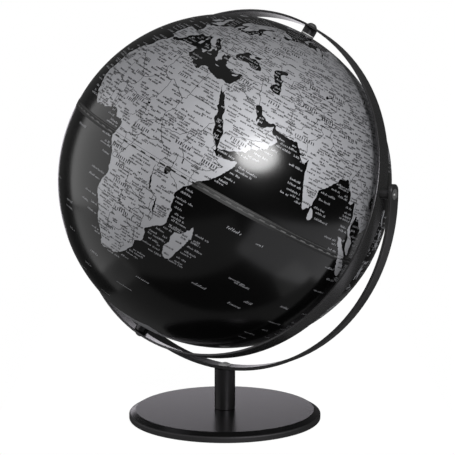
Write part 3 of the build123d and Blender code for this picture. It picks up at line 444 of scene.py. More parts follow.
# Borders, as lines of the same pairs
borders = """
    -2.2 35.1 -1.7 33 -1.2 32.2 -3.6 30.9 -5.5 29.9 -8.7 28.7 -8.7 27.7 / -8.7 27.7 -8.7 26 -12 26
    -12 23.4 -13 22.8 -13 21.3 -17 21.3 / -8.7 27.3 -4.8 25 -6.5 25 -5.5 16.3 -5.3 15.5 -9.4 15.5
    -10.7 15.1 -12.2 14.8 / -4.8 25 1.2 21.1 3.2 19.1 4.3 19.2 5.8 19.5 12 23.5 / 12 23.5 10 24.5 9.4 26.2
    9.9 28 9.5 30.2 8.3 32.5 7.5 33.9 8.3 34.9 8.6 36.9 / 9.5 30.2 10.3 31.7 11.5 32.4 11.5 33.1 / 12 23.5
    14.2 22.6 15.2 23 16 23.4 24 19.5 / 25.1 31.6 25 29.2 25 22 25 20 24 20 24 15.7 / 25 22 31.4 22
    36.8 22 / 24 15.7 22.6 14.1 22 12.6 22.9 11 20.9 9.9 19 9 17 7.7 15.5 7.5 / 15.2 23 15.9 20.4
    15.5 16.9 13.5 14.4 14.1 13.1 14.6 12.2 15.1 10.8 15.5 9.9 13.9 9.6 15.5 7.5 / 13.5 13.7 10.7 13.4
    7.8 13.3 5.5 13.9 4.1 13.5 3.6 11.7 2.8 9.1 2.7 6.5 / 0.9 11 1.6 9 1.6 6.3 / 0 11.1 0.5 8.5 0.6 7
    1.2 6.2 / -5.5 10.4 -4.3 12.5 -2.5 14.2 0.2 15 1.3 12.8 2.2 12 3.6 11.7 / 0.2 15 3.5 15.4 4.2 16.8
    4.3 19.2 / -5.5 10.4 -4.7 9.7 -2.8 9.7 -2.8 11 0 11.1 2.2 12 / -2.8 9.7 -2.5 8.2 -3.2 6.3 -2.9 5.2
    / -5.5 10.4 -7.9 10.2 -8.2 8.5 -8.5 7.6 -7.4 5.8 -7.5 4.5 / -8 10.2 -9 12.3 -11.4 12.4 -11.5 13.5
    -12.2 14.8 -14 16.6 -16.4 16.1 / -11.4 12.4 -13.7 12.6 -16.6 12.4 / -16.6 13.5 -14 13.4 / -13.7 12.6
    -13.8 11.7 -15 11 / -13.3 9.1 -11.2 10 -10.4 8.5 -8.5 7.6 / -10.4 8.5 -11.4 7 / 14.6 12.2 13.3 10.1
    12 7.5 10.6 7.1 9.2 6.3 8.6 4.9 / 15.5 7.5 14.4 6 14.7 4.6 15.2 3.7 16.2 2.2 13.3 2.2 9.9 2.3
    / 13.3 2.2 14 1.4 14.5 -0.6 14.3 -2.2 11.6 -2.8 11.1 -3.8 / 16.2 2.2 18.5 3.6 18.6 4.4 22.4 4.1 25 5
    27.4 5 25 7.5 24 8.7 22.9 11 / 18.6 4.4 17.8 0.2 16.2 -2.2 15.2 -4.4 13 -4.6 12.5 -5.7 / 12.5 -6
    16.6 -5.9 17.5 -8 19.2 -8 21.8 -7.3 22 -11.1 24 -11 24 -13 22 -13 22 -16.2 23.3 -17.6 / 24 -10.9
    25.4 -11.6 28.4 -12.5 29.6 -13.3 29.8 -12.2 28.4 -11.8 28.6 -9 30.7 -8.3 / 11.9 -17.2 13.9 -17.4
    18.5 -17.4 21.4 -17.9 23.3 -17.6 25.2 -17.8 / 21 -18.3 21 -22 20 -22 20 -28.4 17.4 -28.7 16.6 -28.6
    / 20 -24.8 20.7 -26.8 22.7 -25.5 25.5 -25.7 27 -23.7 29.4 -22.2 / 25.2 -17.8 26.2 -19.6 28 -21.6
    29.4 -22.2 31.3 -22.4 32.9 -20 32.7 -18 32.9 -16.7 30.3 -15.8 30.2 -15 / 25.2 -17.8 27 -17.9 28.8 -16
    30.3 -15.7 / 31.3 -22.4 32 -24.5 32 -26.8 32.8 -26.9 / 32 -25.9 30.8 -26.5 31.3 -27.3 32 -27.3
    / 27 -29.6 28.7 -28.6 29.4 -29.5 28.2 -30.6 27 -29.6 / 30.2 -15 33.2 -14 34.4 -14.5 34.5 -16.3
    35.3 -17.1 35.8 -15.9 34.9 -13.5 34.9 -11.6 37.5 -11.6 40.3 -10.5 / 33.2 -14 33 -10 32.9 -9.4
    / 30.7 -8.3 32.9 -9.4 34 -9.6 / 33.9 -1 37.6 -3 39.2 -4.7 / 30.5 -1.1 31.8 -1 / 34 0.2 34 4.2
    / 29 -1.4 29 -2.8 29.3 -4.4 30.5 -3.2 30.8 -1.1 29.6 -1.4 29.7 0.8 31.2 2.2 30.8 3.5 / 27.4 5 30.8 3.5
    34 4.2 36 4.5 41.9 3.9 / 24 8.7 26.5 9.5 28 9.4 31 9.8 33 12.2 33 10.7 34.1 9.5 33 7.9 35.3 5.4 36 4.5
    / 34.1 9.5 34.3 10.7 35.1 11.9 36.5 14.3 37 17.1 38.5 18 / 36.5 14.3 38.5 14.5 40.2 14.5 42.4 12.5
    41.8 11 42.9 11 43.3 9.5 44 9 47 8 48 8 45 5 41.9 3.9 41 2.8 41 -0.9 41.5 -1.6 / 42.4 12.5 43.1 12.7
    / 35 29.5 34.3 31.2 / 35 29.5 35.5 31.5 35.6 32.7 36.1 32.5 38.8 33.4 39.2 32.1 37 31.5 38 30.5
    36 29.2 35.1 29.3 / 35.2 33.1 36.5 34.5 36 34.6 / 35.9 35.9 36.7 36.8 39 36.7 42.4 37.1 41.3 35.5
    41 34.4 38.8 33.4 / 39.2 32.1 42 31.1 44.7 29.2 46.5 29.1 47.7 30.1 48 30 / 46.5 29.1 47.5 28.5
    48.3 28.5 / 42.4 37.1 44.8 37.2 45.4 36 46 35.1 45.6 33.9 47.4 32.4 47.8 31 48.4 30.1 / 44.8 37.2
    44.4 38.5 44 39.4 44.8 39.7 43.7 40.1 43.5 41.1 41.6 41.5 / 44.8 39.7 46.5 38.9 48 39.6 48 38.8
    48.8 38.4 / 40.1 43.4 42.5 43.2 44.5 42.7 46.4 41.9 48.4 41.9 / 43.5 41.1 45 41.3 46.4 41.9 / 45 41.3
    45.6 40.6 46.5 38.9 / 42.9 16.4 43.3 17.5 46.3 17.2 48.2 18.2 52 19 55 20 55.7 22 55.2 22.7 52.6 22.9
    51.7 24 / 52 19 53 16.7 / 55.2 22.7 55.8 24.2 56.3 24.9 / 54 37.3 56 38.1 59.3 37.5 61.2 35.7
    60.9 34.3 60.5 33.7 61 31.4 61.8 31 60.9 29.8 62.8 28.2 62.8 27.2 63.2 26.6 61.7 25.3 / 60.9 29.8
    62.5 29.4 66.3 29.9 66.4 31 69.3 31.9 70.3 33.4 71.2 34.8 71.5 36.3 74.5 37 / 61.2 35.7 64.5 36.3
    66.5 37.4 68 37 70.2 37.9 71.5 38.3 74.5 37.2 77.8 35.5 / 52.7 41.8 55 41.3 56 41.3 57 42 58.5 42.7
    60 42.2 62 40 64.5 38.5 66.5 37.4 / 56 41.3 56 45 58.4 45.4 / 60.8 44.4 62 43.5 65 43.7 66.1 42.9
    66.1 41.9 68 41 70.9 42.3 73.5 43 80.2 42.2 78.5 41.5 73.7 39.5 69.5 39.6 70.5 40.5 73 40.8 70.9 42.3
    / 68 37 68 39 69.5 40.5 / 73.7 39.5 74.5 37.2 / 80.2 42.2 80.3 45 82.5 45.4 83 47.2 85.6 47.2
    85.7 48.4 87.4 49.1 / 49.2 46.4 47 48 46.7 48.8 48.5 50 51 51.6 55 50.8 58.5 51 61.5 51 61 53 62.5 54
    68 55.2 71 54.2 73.5 53.6 76.5 54.2 80 50.9 83.5 51 87.4 49.1 / 68.2 23.8 71 24.4 70 26.6 70.3 28
    72.9 29.1 74.6 31 75.3 32.3 74 33.2 74 34.7 77.8 35.5 79 34.4 78.5 32.7 81 30.2 84 29 88.1 27.9
    88 26.5 84 27.5 80.1 28.8 81 30.2 / 88.1 27.9 89.5 28.2 91.7 27.7 97.3 28.3 / 88.8 27.2 89.8 26.7
    92.1 26.9 91.7 27.7 / 88.1 21.9 88.7 24.3 88.1 25.8 89.8 26 89.8 25.3 92.4 25 91.2 23.7 92.3 22.5
    92.3 21 / 92.4 22 93.3 24 94.6 25.2 97.3 28.3 98.7 27.5 97.8 24.5 99 22.2 101.2 21.5 100.1 20.4
    97.5 18.5 98.5 16.2 98.2 15.1 99.2 13 99.5 11.5 98.7 10.4 / 100.1 20.4 101.2 19.5 102.1 18.2
    104.7 17.5 105.5 14.5 107.5 14.5 / 102.5 12.3 102.5 13.6 105.5 14.3 / 101.2 21.5 102.2 22.4 104 20.5
    105.5 18.5 107.5 15.5 107.5 12.4 105 10.9 104.5 10.5 / 102.2 22.4 105.3 23.3 108 21.6 / 100.3 6.6
    102 6.2 / 87.4 49.1 87.8 49.1 91 50.5 94 50.6 98 51.7 98.3 50.5 102.2 51.3 106.5 50.3 110 49.2
    116 49.9 119.8 47 115.5 45.6 111.5 44.8 110 42.6 105 41.6 96.4 42.8 91 45.2 90 47.8 87.8 49.1
    / 116 49.9 120 52.6 121.5 53.3 125.5 53 127.5 49.8 131 47.7 134.7 48.4 133 45 131 44.8 130.7 42.5
    129 42 126.9 41.7 124.4 40.1 / 126.8 37.8 128.3 38.4 / -1.7 43.3 3 42.4 / -8.7 41.9 -6.5 41.8 -7 39.7
    -7.2 38.2 -7.4 37.2 / 2.5 51 4.2 50 6.1 49.5 8.2 49 7.6 47.6 6.1 46.4 7 45.9 7.6 44.2 7.5 43.9
    / 3.6 51.4 6 51.2 6.1 49.5 / 6 51.2 7.1 53.3 / 8.7 54.9 9.8 54.8 / 14.3 53.8 14.6 52.6 15 51 12.2 50.3
    13.8 48.7 / 7.6 47.6 9.6 47.5 13 47.5 13.8 48.7 17 48.8 17.1 48 16.1 46.9 13.7 46.5 10.5 46.9 7 45.9
    / 13.7 46.5 13.7 45.7 / 15 51 17 50.3 18.8 49.5 22.5 49.1 / 17 48.8 18.8 49.5 / 19.9 54.5 22.8 54.4
    23.6 52.6 24 50.6 22.5 49.1 22.8 48.1 20 48.2 17.1 48 / 22.8 48.1 21.2 46.3 18.8 45.9 16.3 46.5
    13.7 45.5 / 22.8 48.1 26.6 48.2 28.2 46.5 28.2 45.5 29.6 45.2 / 21.2 46.3 22.5 44.5 26 43.8 28.5 43.8
    / 22.5 44.5 22.4 42.3 23 41.3 26.3 41.7 27.9 42 / 20.2 39.7 21 40.8 23 41.3 / 26.3 41.7 26.1 40.9
    / 15.8 45.2 19 44.9 19.2 43.5 20.3 42.8 22.4 42.3 / 15.8 45.2 16.5 44.1 18.5 42.6 / 19.4 41.9
    20.5 41.9 21 40.8 / 24 50.6 24 51.7 30.5 51.4 34 52.3 36.5 50.3 40 49.6 39.8 47.9 38.4 47.2
    / 23.6 52.6 23.5 53.9 26.6 55.6 30.8 54.7 32.5 53.3 31.5 52.1 / 21.3 55.3 22.8 54.4 / 21.1 56.1
    24.5 56.3 26.6 55.7 28 56.1 27.5 57.5 28.1 59.4 / 24.4 57.9 27.4 57.6 / 28 60.6 31.5 62.9 29.7 64.5
    30 67.7 28.5 69 30.6 69.5 / 24.2 65.8 23.7 67.9 20.6 69.1 25.8 69.6 28 70 28.5 69 / 11.3 59 12.3 61
    12.1 63.6 14.1 64.5 16 67.3 18.1 68.5 20.6 69.1 / -7.3 55 -8 54.3 -6.3 54.1 / -2.2 55.8 -3 55
    / -123 49 -110 49 -95.2 49 -91 48.1 / -79 43 -78.9 42.9 / -76.3 44.2 -74.7 45 -71.5 45 -69.2 47.4
    -67.8 47 -67.1 44.9 / -141 69.5 -141 60.3 -137.5 58.9 -130.2 55.9 / -117.1 32.5 -114.7 32.7 -111 31.3
    -106.5 31.8 -104.5 29.6 -101.4 29.8 -97.3 25.9 / -92.2 14.7 -91 17.8 -89.1 17.8 -88.9 16 / -89.3 14.4
    -88.3 15.6 / -87.3 13.1 -83.3 14.9 / -85.6 11.2 -83.8 11 / -77.4 8.5 -77.8 7.4 / -71.9 12.2 -72.4 8
    -70 7 -67.5 6.2 -67 1.2 -63.5 2.2 -60.7 5.2 -59.8 2 -56.5 2 -54.6 2.3 -51.7 4.1 / -60.7 5.2 -59.9 8.3
    / -57.2 6 -56.5 2 / -54.1 5.7 -54.6 2.3 / -78.8 1.4 -75.3 -0.1 -75.2 -1 -80.2 -3.4 / -67 1.2 -69.5 0.6
    -69.9 -4.3 -75.2 -0.1 / -69.9 -4.3 -73.9 -7.5 -70.5 -9.5 -69.5 -11 -65.3 -10 -60 -13.8 -58.2 -17
    -58 -20 -55.6 -22.3 -54.3 -24 -54.6 -25.6 -53.7 -27 -57.6 -30.2 -53.5 -33.6 / -69.5 -11 -69 -17.5
    -67.5 -22.8 -66 -22 -62.5 -22.2 -58 -20 / -67.5 -22.8 -69.5 -30 -70.5 -36 -71.8 -43 -73 -50
    -68.6 -52.3 / -62.5 -22.2 -58 -25.3 -54.6 -25.6 / -57.6 -30.2 -58.2 -33.9 / 129 -15 129 -31.6
    / 138 -16.6 138 -26 141 -26 141 -38 / 129 -26 138 -26 / 141 -29 149 -29 153.4 -28.2 / 141 -34 147 -36
    149.9 -37.3 / 141 -2.7 141 -8.6 / 109.6 1.9 111 1 114 1.4 115.7 4.2 117.6 4.2 / 124.2 -9.3 125.1 -9.5
    / 58.3 45.5 59.2 46.3 61.2 46.7 61.7 45.9 60.8 44.5 59.6 43.8 58.3 43.9 58.3 45.5
    """


spinJoint = next(joint for joint in frame["joints"] if joint["name"] == "globe_spin")
centre = Vector(spinJoint["pos_m"])
north = Vector(spinJoint["axis"]).normalized()
east = (Vector((1, 0, 0)) - north * north.x).normalized()  # in the meridian ring's plane
polar = Matrix((east, north.cross(east), north)).transposed()
northArm, eastArm, toWorld = np.array(north), np.array(east), np.array(polar).T

globeBall = {
    "radius": 149.86 * mm,
    "wall": 1.86 * mm,
    "meridians": 216,
    "parallels": 144,
    "poleHole": 6.05 * mm,
    "sharpFrom": 40.0,  # degrees between faces from which an edge is sharp
    "beadHeight": 0.1 * mm,  # low ridge where the halves are joined
    "beadHalfWidth": 4.2 * mm,
    "beadRows": (0.8, 1.6, 2.4, 3.2, 4.2),  # extra loops across the ridge, mm from the equator
    "beadClear": 5.4 * mm,  # nearer to the equator only those rows carry the land
}
globeMap = {
    "turn": 106.26,  # longitude that lies on the east axis
    "stretch": 1.8,  # the print is drawn out from the equator by up to this many degrees
    "wander": 0.09,  # coast detail, as a share of each stretch of coast
    "wanderSpan": 2.0,  # degrees past which a longer stretch gets no more of it
    "waves": ((17.3, 29.9), (23.1, -19.7)),  # its waves over longitude and latitude
    "step": 0.6,  # degrees between points of a coast
    "grid": 1.2,  # degrees between points inside the land
    "stripHeight": 0.03 * mm,
    "landHeight": 0.06 * mm,
    "inkHeight": 0.10 * mm,
}
degree = pi / 180 * globeBall["radius"]  # its length along a meridian, in metres


def ballRadius(sinLatitude):  # works on numbers and arrays
    height = np.abs(globeBall["radius"] * sinLatitude) / globeBall["beadHalfWidth"]
    t = np.clip(1 - height, 0, 1)
    return globeBall["radius"] + globeBall["beadHeight"] * t * t * (3 - 2 * t)


def makeHemisphere(name, pole, finish):
    size = globeBall
    bm = bmesh.new()
    bmesh.ops.create_uvsphere(
        bm, u_segments=size["meridians"], v_segments=size["parallels"], radius=size["radius"],
        matrix=Matrix.Translation(centre) @ polar.to_4x4(),
    )

    def cut(height, **sides):
        parts = bm.verts[:] + bm.edges[:] + bm.faces[:]
        bmesh.ops.bisect_plane(
            bm, geom=parts, dist=1e-6, plane_co=centre + pole * height, plane_no=pole, **sides
        )

    cut(0.0, clear_inner=True)
    cut(sqrt(size["radius"] ** 2 - size["poleHole"] ** 2), clear_outer=True)
    for row in size["beadRows"]:
        cut(row * mm)
    for vert in bm.verts:
        arm = (vert.co - centre).normalized()
        vert.co = centre + arm * float(ballRadius(arm.dot(pole)))
    bmesh.ops.solidify(bm, geom=bm.faces[:], thickness=size["wall"])
    for face in bm.faces:
        face.smooth = True
    for edge in bm.edges:
        edge.smooth = edge.calc_face_angle(0) < radians(size["sharpFrom"])
    return printPiece(name, bm, finish)


def readPoints(text):
    return np.array(text.split(), float).reshape(-1, 2)


def shrink(lat):  # of a degree of longitude towards the poles, held there
    return max(0.2, cos(radians(lat)))


def roughen(points, closed, longest=180.0):
    # Adds points along a line and shifts them a little, the same way whichever side it is drawn from
    (sinLon, sinLat), (cosLon, cosLat) = globeMap["waves"]
    if closed:
        points = np.vstack([points, points[:1]])
    made = []
    for one, other in zip(points[:-1], points[1:]):
        gap = other - one
        span = float(np.hypot(gap[0] * cos(radians((one[1] + other[1]) / 2)), gap[1]))
        count = max(1, int(np.ceil(span / globeMap["step"])))
        for i in range(count):
            t = i / count
            lon, lat = one + gap * t
            if i and span < longest:
                sway = globeMap["wander"] * min(span, globeMap["wanderSpan"]) * sin(pi * t) ** 0.5
                lon += sway * sin(sinLon * lon + sinLat * lat) / shrink(lat)
                lat += sway * cos(cosLon * lon + cosLat * lat)
            made.append((lon, lat))
    if not closed:
        made.append(tuple(points[-1]))
    return np.array(made)


def direction(points):  # longitude and latitude to unit arms from the globe's centre
    lon = np.radians(points[:, 0] - globeMap["turn"])
    lat = np.radians(points[:, 1] + globeMap["stretch"] * np.sin(2 * np.radians(points[:, 1])))
    local = np.stack([np.cos(lat) * np.cos(lon), np.cos(lat) * np.sin(lon), np.sin(lat)], 1)
    return local @ toWorld


def onBall(arms, height):
    return np.array(centre) + arms * (ballRadius(arms @ northArm) + height)[:, None]


def inside(points, loop):  # even-odd count of crossings, points against one closed loop
    x, y = points[:, 0], points[:, 1]
    result = np.zeros(len(points), bool)
    for (ax, ay), (bx, by) in zip(loop, np.roll(loop, -1, 0)):
        if ay != by:
            crosses = (ay > y) != (by > y)
            result ^= crosses & (x < (bx - ax) * (y - ay) / (by - ay) + ax)
    return result


class Plane:  # flattens the ball round a middle, keeping angles
    def __init__(self, arms):
        self.out = arms.mean(0) / np.linalg.norm(arms.mean(0))
        side = np.cross(self.out, northArm if abs(self.out @ northArm) < 0.9 else eastArm)  # not near a pole
        self.side = side / np.linalg.norm(side)
        self.up = np.cross(self.out, self.side)

    def flatten(self, arms):
        return np.stack([arms @ self.side, arms @ self.up], 1) / (1 + arms @ self.out)[:, None]

    def raiseUp(self, flat):
        square = (flat ** 2).sum(1)[:, None]
        across = 2 * flat[:, :1] * self.side + 2 * flat[:, 1:] * self.up
        return (across + (1 - square) * self.out) / (1 + square)


def circleArms(z, turn):  # arms at these heights and turns round the polar axis
    flat = np.sqrt(1 - z * z)
    return np.stack([flat * np.cos(turn), flat * np.sin(turn), z], 1)


def spreadArms(step):  # even cover of the ball on one long spiral, and rows that follow the ridge
    count = int(4 * pi / (radians(step) ** 2 * 0.866))  # 0.866 for points in triangles
    index = np.arange(count) + 0.5
    made = circleArms(1 - 2 * index / count, pi * (1 + 5 ** 0.5) * index)
    made = made[np.abs(made[:, 2]) * globeBall["radius"] > globeBall["beadClear"]]
    around = np.radians(np.arange(0, 360, 1.0))
    for row in [0.0] + [sign * row for row in globeBall["beadRows"] for sign in (-1, 1)]:
        z = np.full(len(around), row * mm / globeBall["radius"])
        made = np.vstack([made, circleArms(z, around)])
    return made @ toWorld


coasts, shores = (
    [direction(roughen(readPoints(text), True)) for text in outlines.values()] for outlines in (land, water)
)
spread = spreadArms(globeMap["grid"])


def addLand(bm, coast):
    plane = Plane(coast)
    outline = plane.flatten(coast)
    holes = [plane.flatten(shore) for shore in shores if shore.mean(0) @ plane.out > 0.2]  # on this side
    holes = [hole for hole in holes if inside(hole, outline).mean() > 0.5]
    fill = plane.flatten(spread[spread @ plane.out > -0.3])
    fill = fill[inside(fill, outline)]
    points = np.vstack([outline, *holes, fill])
    edges, start = [], 0
    for loop in [outline, *holes]:
        count = len(loop)
        edges += [(start + i, start + (i + 1) % count) for i in range(count)]
        start += count
    flat, _, faces, *_ = delaunay_2d_cdt([Vector(p) for p in points], edges, [], 0, 1e-7)
    flat = np.array([tuple(p) for p in flat])
    middles = np.array([flat[list(face)].mean(0) for face in faces])
    keep = inside(middles, outline)
    for hole in holes:
        keep &= ~inside(middles, hole)
    verts = {}
    raised = onBall(plane.raiseUp(flat), globeMap["landHeight"])
    for face in (face for face, wanted in zip(faces, keep) if wanted):
        corners = []
        for corner in face:
            if corner not in verts:
                verts[corner] = bm.verts.new(raised[corner])
            corners.append(verts[corner])
        bm.faces.new(corners).smooth = True


def makeLand(finish):
    bm = bmesh.new()
    for coast in coasts:
        addLand(bm, coast)
    tree = BVHTree.FromBMesh(bm)
    printPiece("land_print", bm, finish)
    return tree


def isLand(tree, arms):  # an arm from the globe's centre meets the land's sheet
    return [tree.ray_cast(centre, Vector(arm))[0] is not None for arm in arms]


printLines = {
    "borderWidth": 0.42 * mm,
    "borderLongest": 5.0,  # degrees past which a border runs straight
    "scaleLine": {True: 0.4 * mm, False: 0.3 * mm},  # fine lines beside the equator, on land and on sea
    "scaleSides": ((-1, 1.0), (1, 0.7)),  # south and north of it, and their share of that width
    "scaleHalfGap": 1.3 * mm,
    "scaleBlock": {True: 1.1 * mm, False: 0.7 * mm},  # blocks between them, on and off
    "scaleStep": 4.0,  # degrees from block to block
    "stripLanes": (-1.5, -0.5, 0.5, 1.5),  # narrow, so that the matt strip over the joint follows the ball
    "stripLane": 1.5 * mm,
    "stripLap": 0.1 * mm,
    "stripShift": -0.6 * mm,  # it lies a little to the south
}
nameMarks = {  # plain upright ticks in place of names, mm: pitch, tick heights, tick width, how many
    "small": (0.95, (1.05, 1.1, 1.5), 0.64, (5, 16)),
    "large": (2.2, (2.5, 2.6, 2.8), 0.95, (4, 9)),
    "coast": (1.0, (1.05, 1.1, 1.7), 0.42, (6, 17)),
    "inlet": (1.0, (1.05, 1.1, 1.7), 0.42, (3, 5)),
    "ocean": (1.7, (1.4, 1.5, 2.5), 0.6, (5, 8)),
}
nameRows = {
    "seed": 11,
    "tries": 900,  # for large names on land and slanted ones on the open sea
    "largeTries": 420,  # of these
    "oceanEvery": 8,
    "oceanLean": 0.6,
    "rows": (-84, 83, 1.5),  # latitudes of the names along the coasts, first, last and step
    "rowSway": 0.5,
    "coastStep": 0.5,  # degrees of longitude between the looks for a coast
    "coastShare": 0.8,  # of the coasts that are found
    "coastGap": 2.6,  # mm from the coast to its name
    "landTries": 28000,
    "seaTries": 110,
    "heights": {"large": (-0.85, 0.98), "small": (-0.87, 0.98), "sea": (-0.9, 0.9)},  # sines of latitude
    "clear": {"large": 2.5, "ocean": 4, "coast": 1.4, "small": 1.4, "sea": 2},  # degrees from the equator
    "desert": ((-12, 34), (16, 31)),  # longitudes and latitudes where one small name in three is kept
    "apart": (0.8, 0.3),  # mm between two names, for each mm of tick height, and more
    "blank": (3, 12),  # which tick of a name is left out, as between two words
    "sway": 0.15,  # of a tick along its row, as a share of the pitch
    "weight": (0.75, 1.25),  # of a tick's width
}


class Ribbons:  # flat strips of ink that lie on the ball
    def __init__(self, height):
        self.height = height
        self.bm = bmesh.new()
        self.side = self.bm.verts.layers.float_vector.new("side")

    def add(self, arms, width):
        places = onBall(arms, self.height)
        line = []
        for i, place in enumerate(places):
            ahead = places[min(i + 1, len(places) - 1)] - places[max(i - 1, 0)]
            side = np.cross(arms[i], ahead)
            vert = self.bm.verts.new(place)
            vert[self.side] = side / np.linalg.norm(side) * width / 2
            line.append(vert)
        for one, other in zip(line[:-1], line[1:]):
            self.bm.edges.new((one, other))

    def make(self, name, finish):
        old = set(self.bm.verts)
        bmesh.ops.extrude_edge_only(self.bm, edges=self.bm.edges[:])
        for vert in self.bm.verts:
            vert.co += vert[self.side] * (1 if vert in old else -1)
        for face in self.bm.faces:
            face.normal_update()
            if face.normal.dot(face.calc_center_median() - centre) < 0:
                face.normal_flip()
            face.smooth = True
        return printPiece(name, self.bm, finish)


class Names:  # rows of ticks along the parallels, on land or on sea, that keep off each other
    def __init__(self, tree, rng):
        self.tree = tree
        self.rng = rng
        self.taken = np.zeros((0, 4))  # arm and latitude of every tick so far

    def somewhere(self, low, high):  # longitude and latitude, even over the ball between two heights
        return self.rng.uniform(-180, 180), np.degrees(np.arcsin(self.rng.uniform(low, high)))

    def add(self, ribbons, kind, lon, lat, onLand, backwards=False, lean=0.0):
        pitch, heights, width, counts = nameMarks[kind]
        count = self.rng.randint(*counts)
        perDegree = degree / mm
        along = pitch / perDegree / shrink(lat)
        if backwards:
            lon -= along * count
        line = np.stack([lon + along * np.arange(count), np.full(count, lat)], 1)
        arms = direction(line)
        if isLand(self.tree, arms) != [onLand] * count:
            return False
        share, more = nameRows["apart"]
        apart = heights[-1] * share + more
        near = self.taken[abs(self.taken[:, 3] - lat) < apart / perDegree, :3]
        if len(near) and (arms @ near.T).max() > cos(apart * mm / globeBall["radius"]):
            return False
        self.taken = np.vstack([self.taken, np.column_stack([arms, line[:, 1]])])
        blank = self.rng.randint(*nameRows["blank"])
        foot = heights[-1] / 2 / perDegree
        tilt = lean * along * 0.5
        for i, (tickLon, tickLat) in enumerate(line):
            if i == blank:
                continue
            top = self.rng.choice(heights) / perDegree - foot
            tickLon += along * self.rng.uniform(-nameRows["sway"], nameRows["sway"])
            ends = np.array([[tickLon - tilt, tickLat - foot], [tickLon + tilt, tickLat + top]])
            ribbons.add(direction(ends), width * mm * self.rng.uniform(*nameRows["weight"]))
        return True


def addScale(tree, dark, faint, strip):  # the scale along the equator and the strip under it
    size = printLines
    for i, lon in enumerate(np.arange(-180, 180, size["scaleStep"] / 2)):
        pair = np.stack([np.linspace(lon, lon + size["scaleStep"] / 2, 4), np.zeros(4)], 1)
        onLand = isLand(tree, direction(pair[1:2]))[0]
        ribbons = dark if onLand else faint
        if not all(isLand(tree, direction(pair))):
            for lane in size["stripLanes"]:
                shift = size["stripShift"] + lane * size["stripLane"]
                strip.add(direction(pair + [0, shift / degree]), size["stripLane"] + size["stripLap"])
        for side, share in size["scaleSides"]:
            line = direction(pair + [0, side * size["scaleHalfGap"] / degree])
            ribbons.add(line, share * size["scaleLine"][onLand])
        if i % 2:
            middle = direction(pair - [0, 0.5 * size["scaleHalfGap"] / degree])
            ribbons.add(middle, size["scaleBlock"][onLand])


def addNames(tree, dark, pale):
    rows = nameRows
    clear = rows["clear"]
    rng = Random(rows["seed"])
    names = Names(tree, rng)
    for i in range(rows["tries"]):
        lon, lat = names.somewhere(*rows["heights"]["large"])
        if i < rows["largeTries"] and abs(lat) > clear["large"]:
            names.add(dark, "large", lon, lat, True)
        elif i % rows["oceanEvery"] == 0 and abs(lat) > clear["ocean"]:
            names.add(pale, "ocean", lon, lat, False, lean=rows["oceanLean"])
    lons = np.arange(-180, 180, rows["coastStep"])
    for row in np.arange(*rows["rows"]):
        if abs(row) < clear["coast"]:
            continue
        ashore = isLand(tree, direction(np.stack([lons, np.full(len(lons), row)], 1)))
        gap = rows["coastGap"] / (degree / mm) / cos(radians(row))
        for i, lon in enumerate(lons):
            if ashore[i] == ashore[i - 1] or rng.random() > rows["coastShare"]:
                continue
            start = lon + (-gap if ashore[i] else gap)
            lat = row + rng.uniform(-rows["rowSway"], rows["rowSway"])
            if not names.add(pale, "coast", start, lat, False, ashore[i]):
                names.add(pale, "inlet", start, lat, False, ashore[i])
    (west, far), (low, high) = rows["desert"]
    for i in range(rows["landTries"]):
        lon, lat = names.somewhere(*rows["heights"]["small"])
        if i % 3 and west < lon < far and low < lat < high:
            continue
        if abs(lat) > clear["small"] and isLand(tree, direction(np.array([[lon, lat]])))[0]:
            names.add(dark, "small", lon, lat, True)
    for _ in range(rows["seaTries"]):
        lon, lat = names.somewhere(*rows["heights"]["sea"])
        if abs(lat) > clear["sea"]:
            names.add(pale, "coast", lon, lat, False)


def makeInk(tree, finishes):
    dark, pale, faint = (Ribbons(globeMap["inkHeight"]) for _ in range(3))
    strip = Ribbons(globeMap["stripHeight"])
    for text in borders.split("/"):
        line = roughen(readPoints(text), False, printLines["borderLongest"])
        dark.add(direction(line), printLines["borderWidth"])
    addScale(tree, dark, faint, strip)
    addNames(tree, dark, pale)
    dark.make("dark_print", finishes["darkInk"])
    pale.make("pale_print", finishes["land"])
    faint.make("faint_print", finishes["faintInk"])
    strip.make("joint_strip", finishes["strip"])


paintEdges = {  # where paint rubs or ends, and where the foot's side carries a painted reflection, in metres
    "footRim": (0.0862, 0.0878),  # from the foot's axis
    "footSide": (0.0062, 0.0068),  # heights, rougher below and lighter there, the lighter colour a painted reflection of the floor
    "ringEdge": (0.0081, 0.0087),  # from the ring's middle plane
    "cradleEdge": (0.0061, 0.0067),  # from the cradle's middle plane
    "ringSwing": -18.0,  # degrees that the ring's plane is swung from upright
}


def seaFinish():  # black varnished print
    made = Finish("sea_black", Roughness=0.2, Specular_IOR_Level=0.5)
    cloud = made.noise(14, 3)
    made.feed("Base Color", made.blend(cloud, grey(0.0012), grey(0.0026)))
    made.feed("Roughness", 0.155 + 0.05 * made.noise(60, 4))
    made.bump(made.noise(420, 2), 0.004 * mm, 0.5)
    return made


def landFinish():  # silver ink under the same varnish
    made = Finish(
        "land_silver", Metallic=0.85, Specular_IOR_Level=0.5, Coat_Weight=0.75, Coat_Roughness=0.2
    )
    flake = made.noise(2600, 2).between(0.35, 0.7)
    mix = 0.25 * flake + 0.75 * made.noise(22, 4)
    made.feed("Base Color", made.blend(mix, (0.5, 0.503, 0.526, 1), (0.57, 0.574, 0.6, 1)))
    made.feed("Roughness", 0.66 + 0.08 * made.noise(300, 3))
    return made


def inkFinish(name, low, high):
    made = Finish(name, Specular_IOR_Level=0.5)
    made.feed("Base Color", made.blend(made.noise(1800, 2), grey(low), grey(high)))
    made.feed("Roughness", 0.3 + 0.15 * made.noise(900, 2))
    return made


def stripFinish():  # matt tape over the joint, higher on its south side
    made = Finish("strip_matt")
    made.feed("Base Color", made.blend(made.noise(400, 3), grey(0.003), grey(0.007)))
    made.feed("Roughness", 0.47 + 0.06 * made.noise(200, 3))
    made.bump(-0.15 * made.along(north, centre), 1.0)
    return made


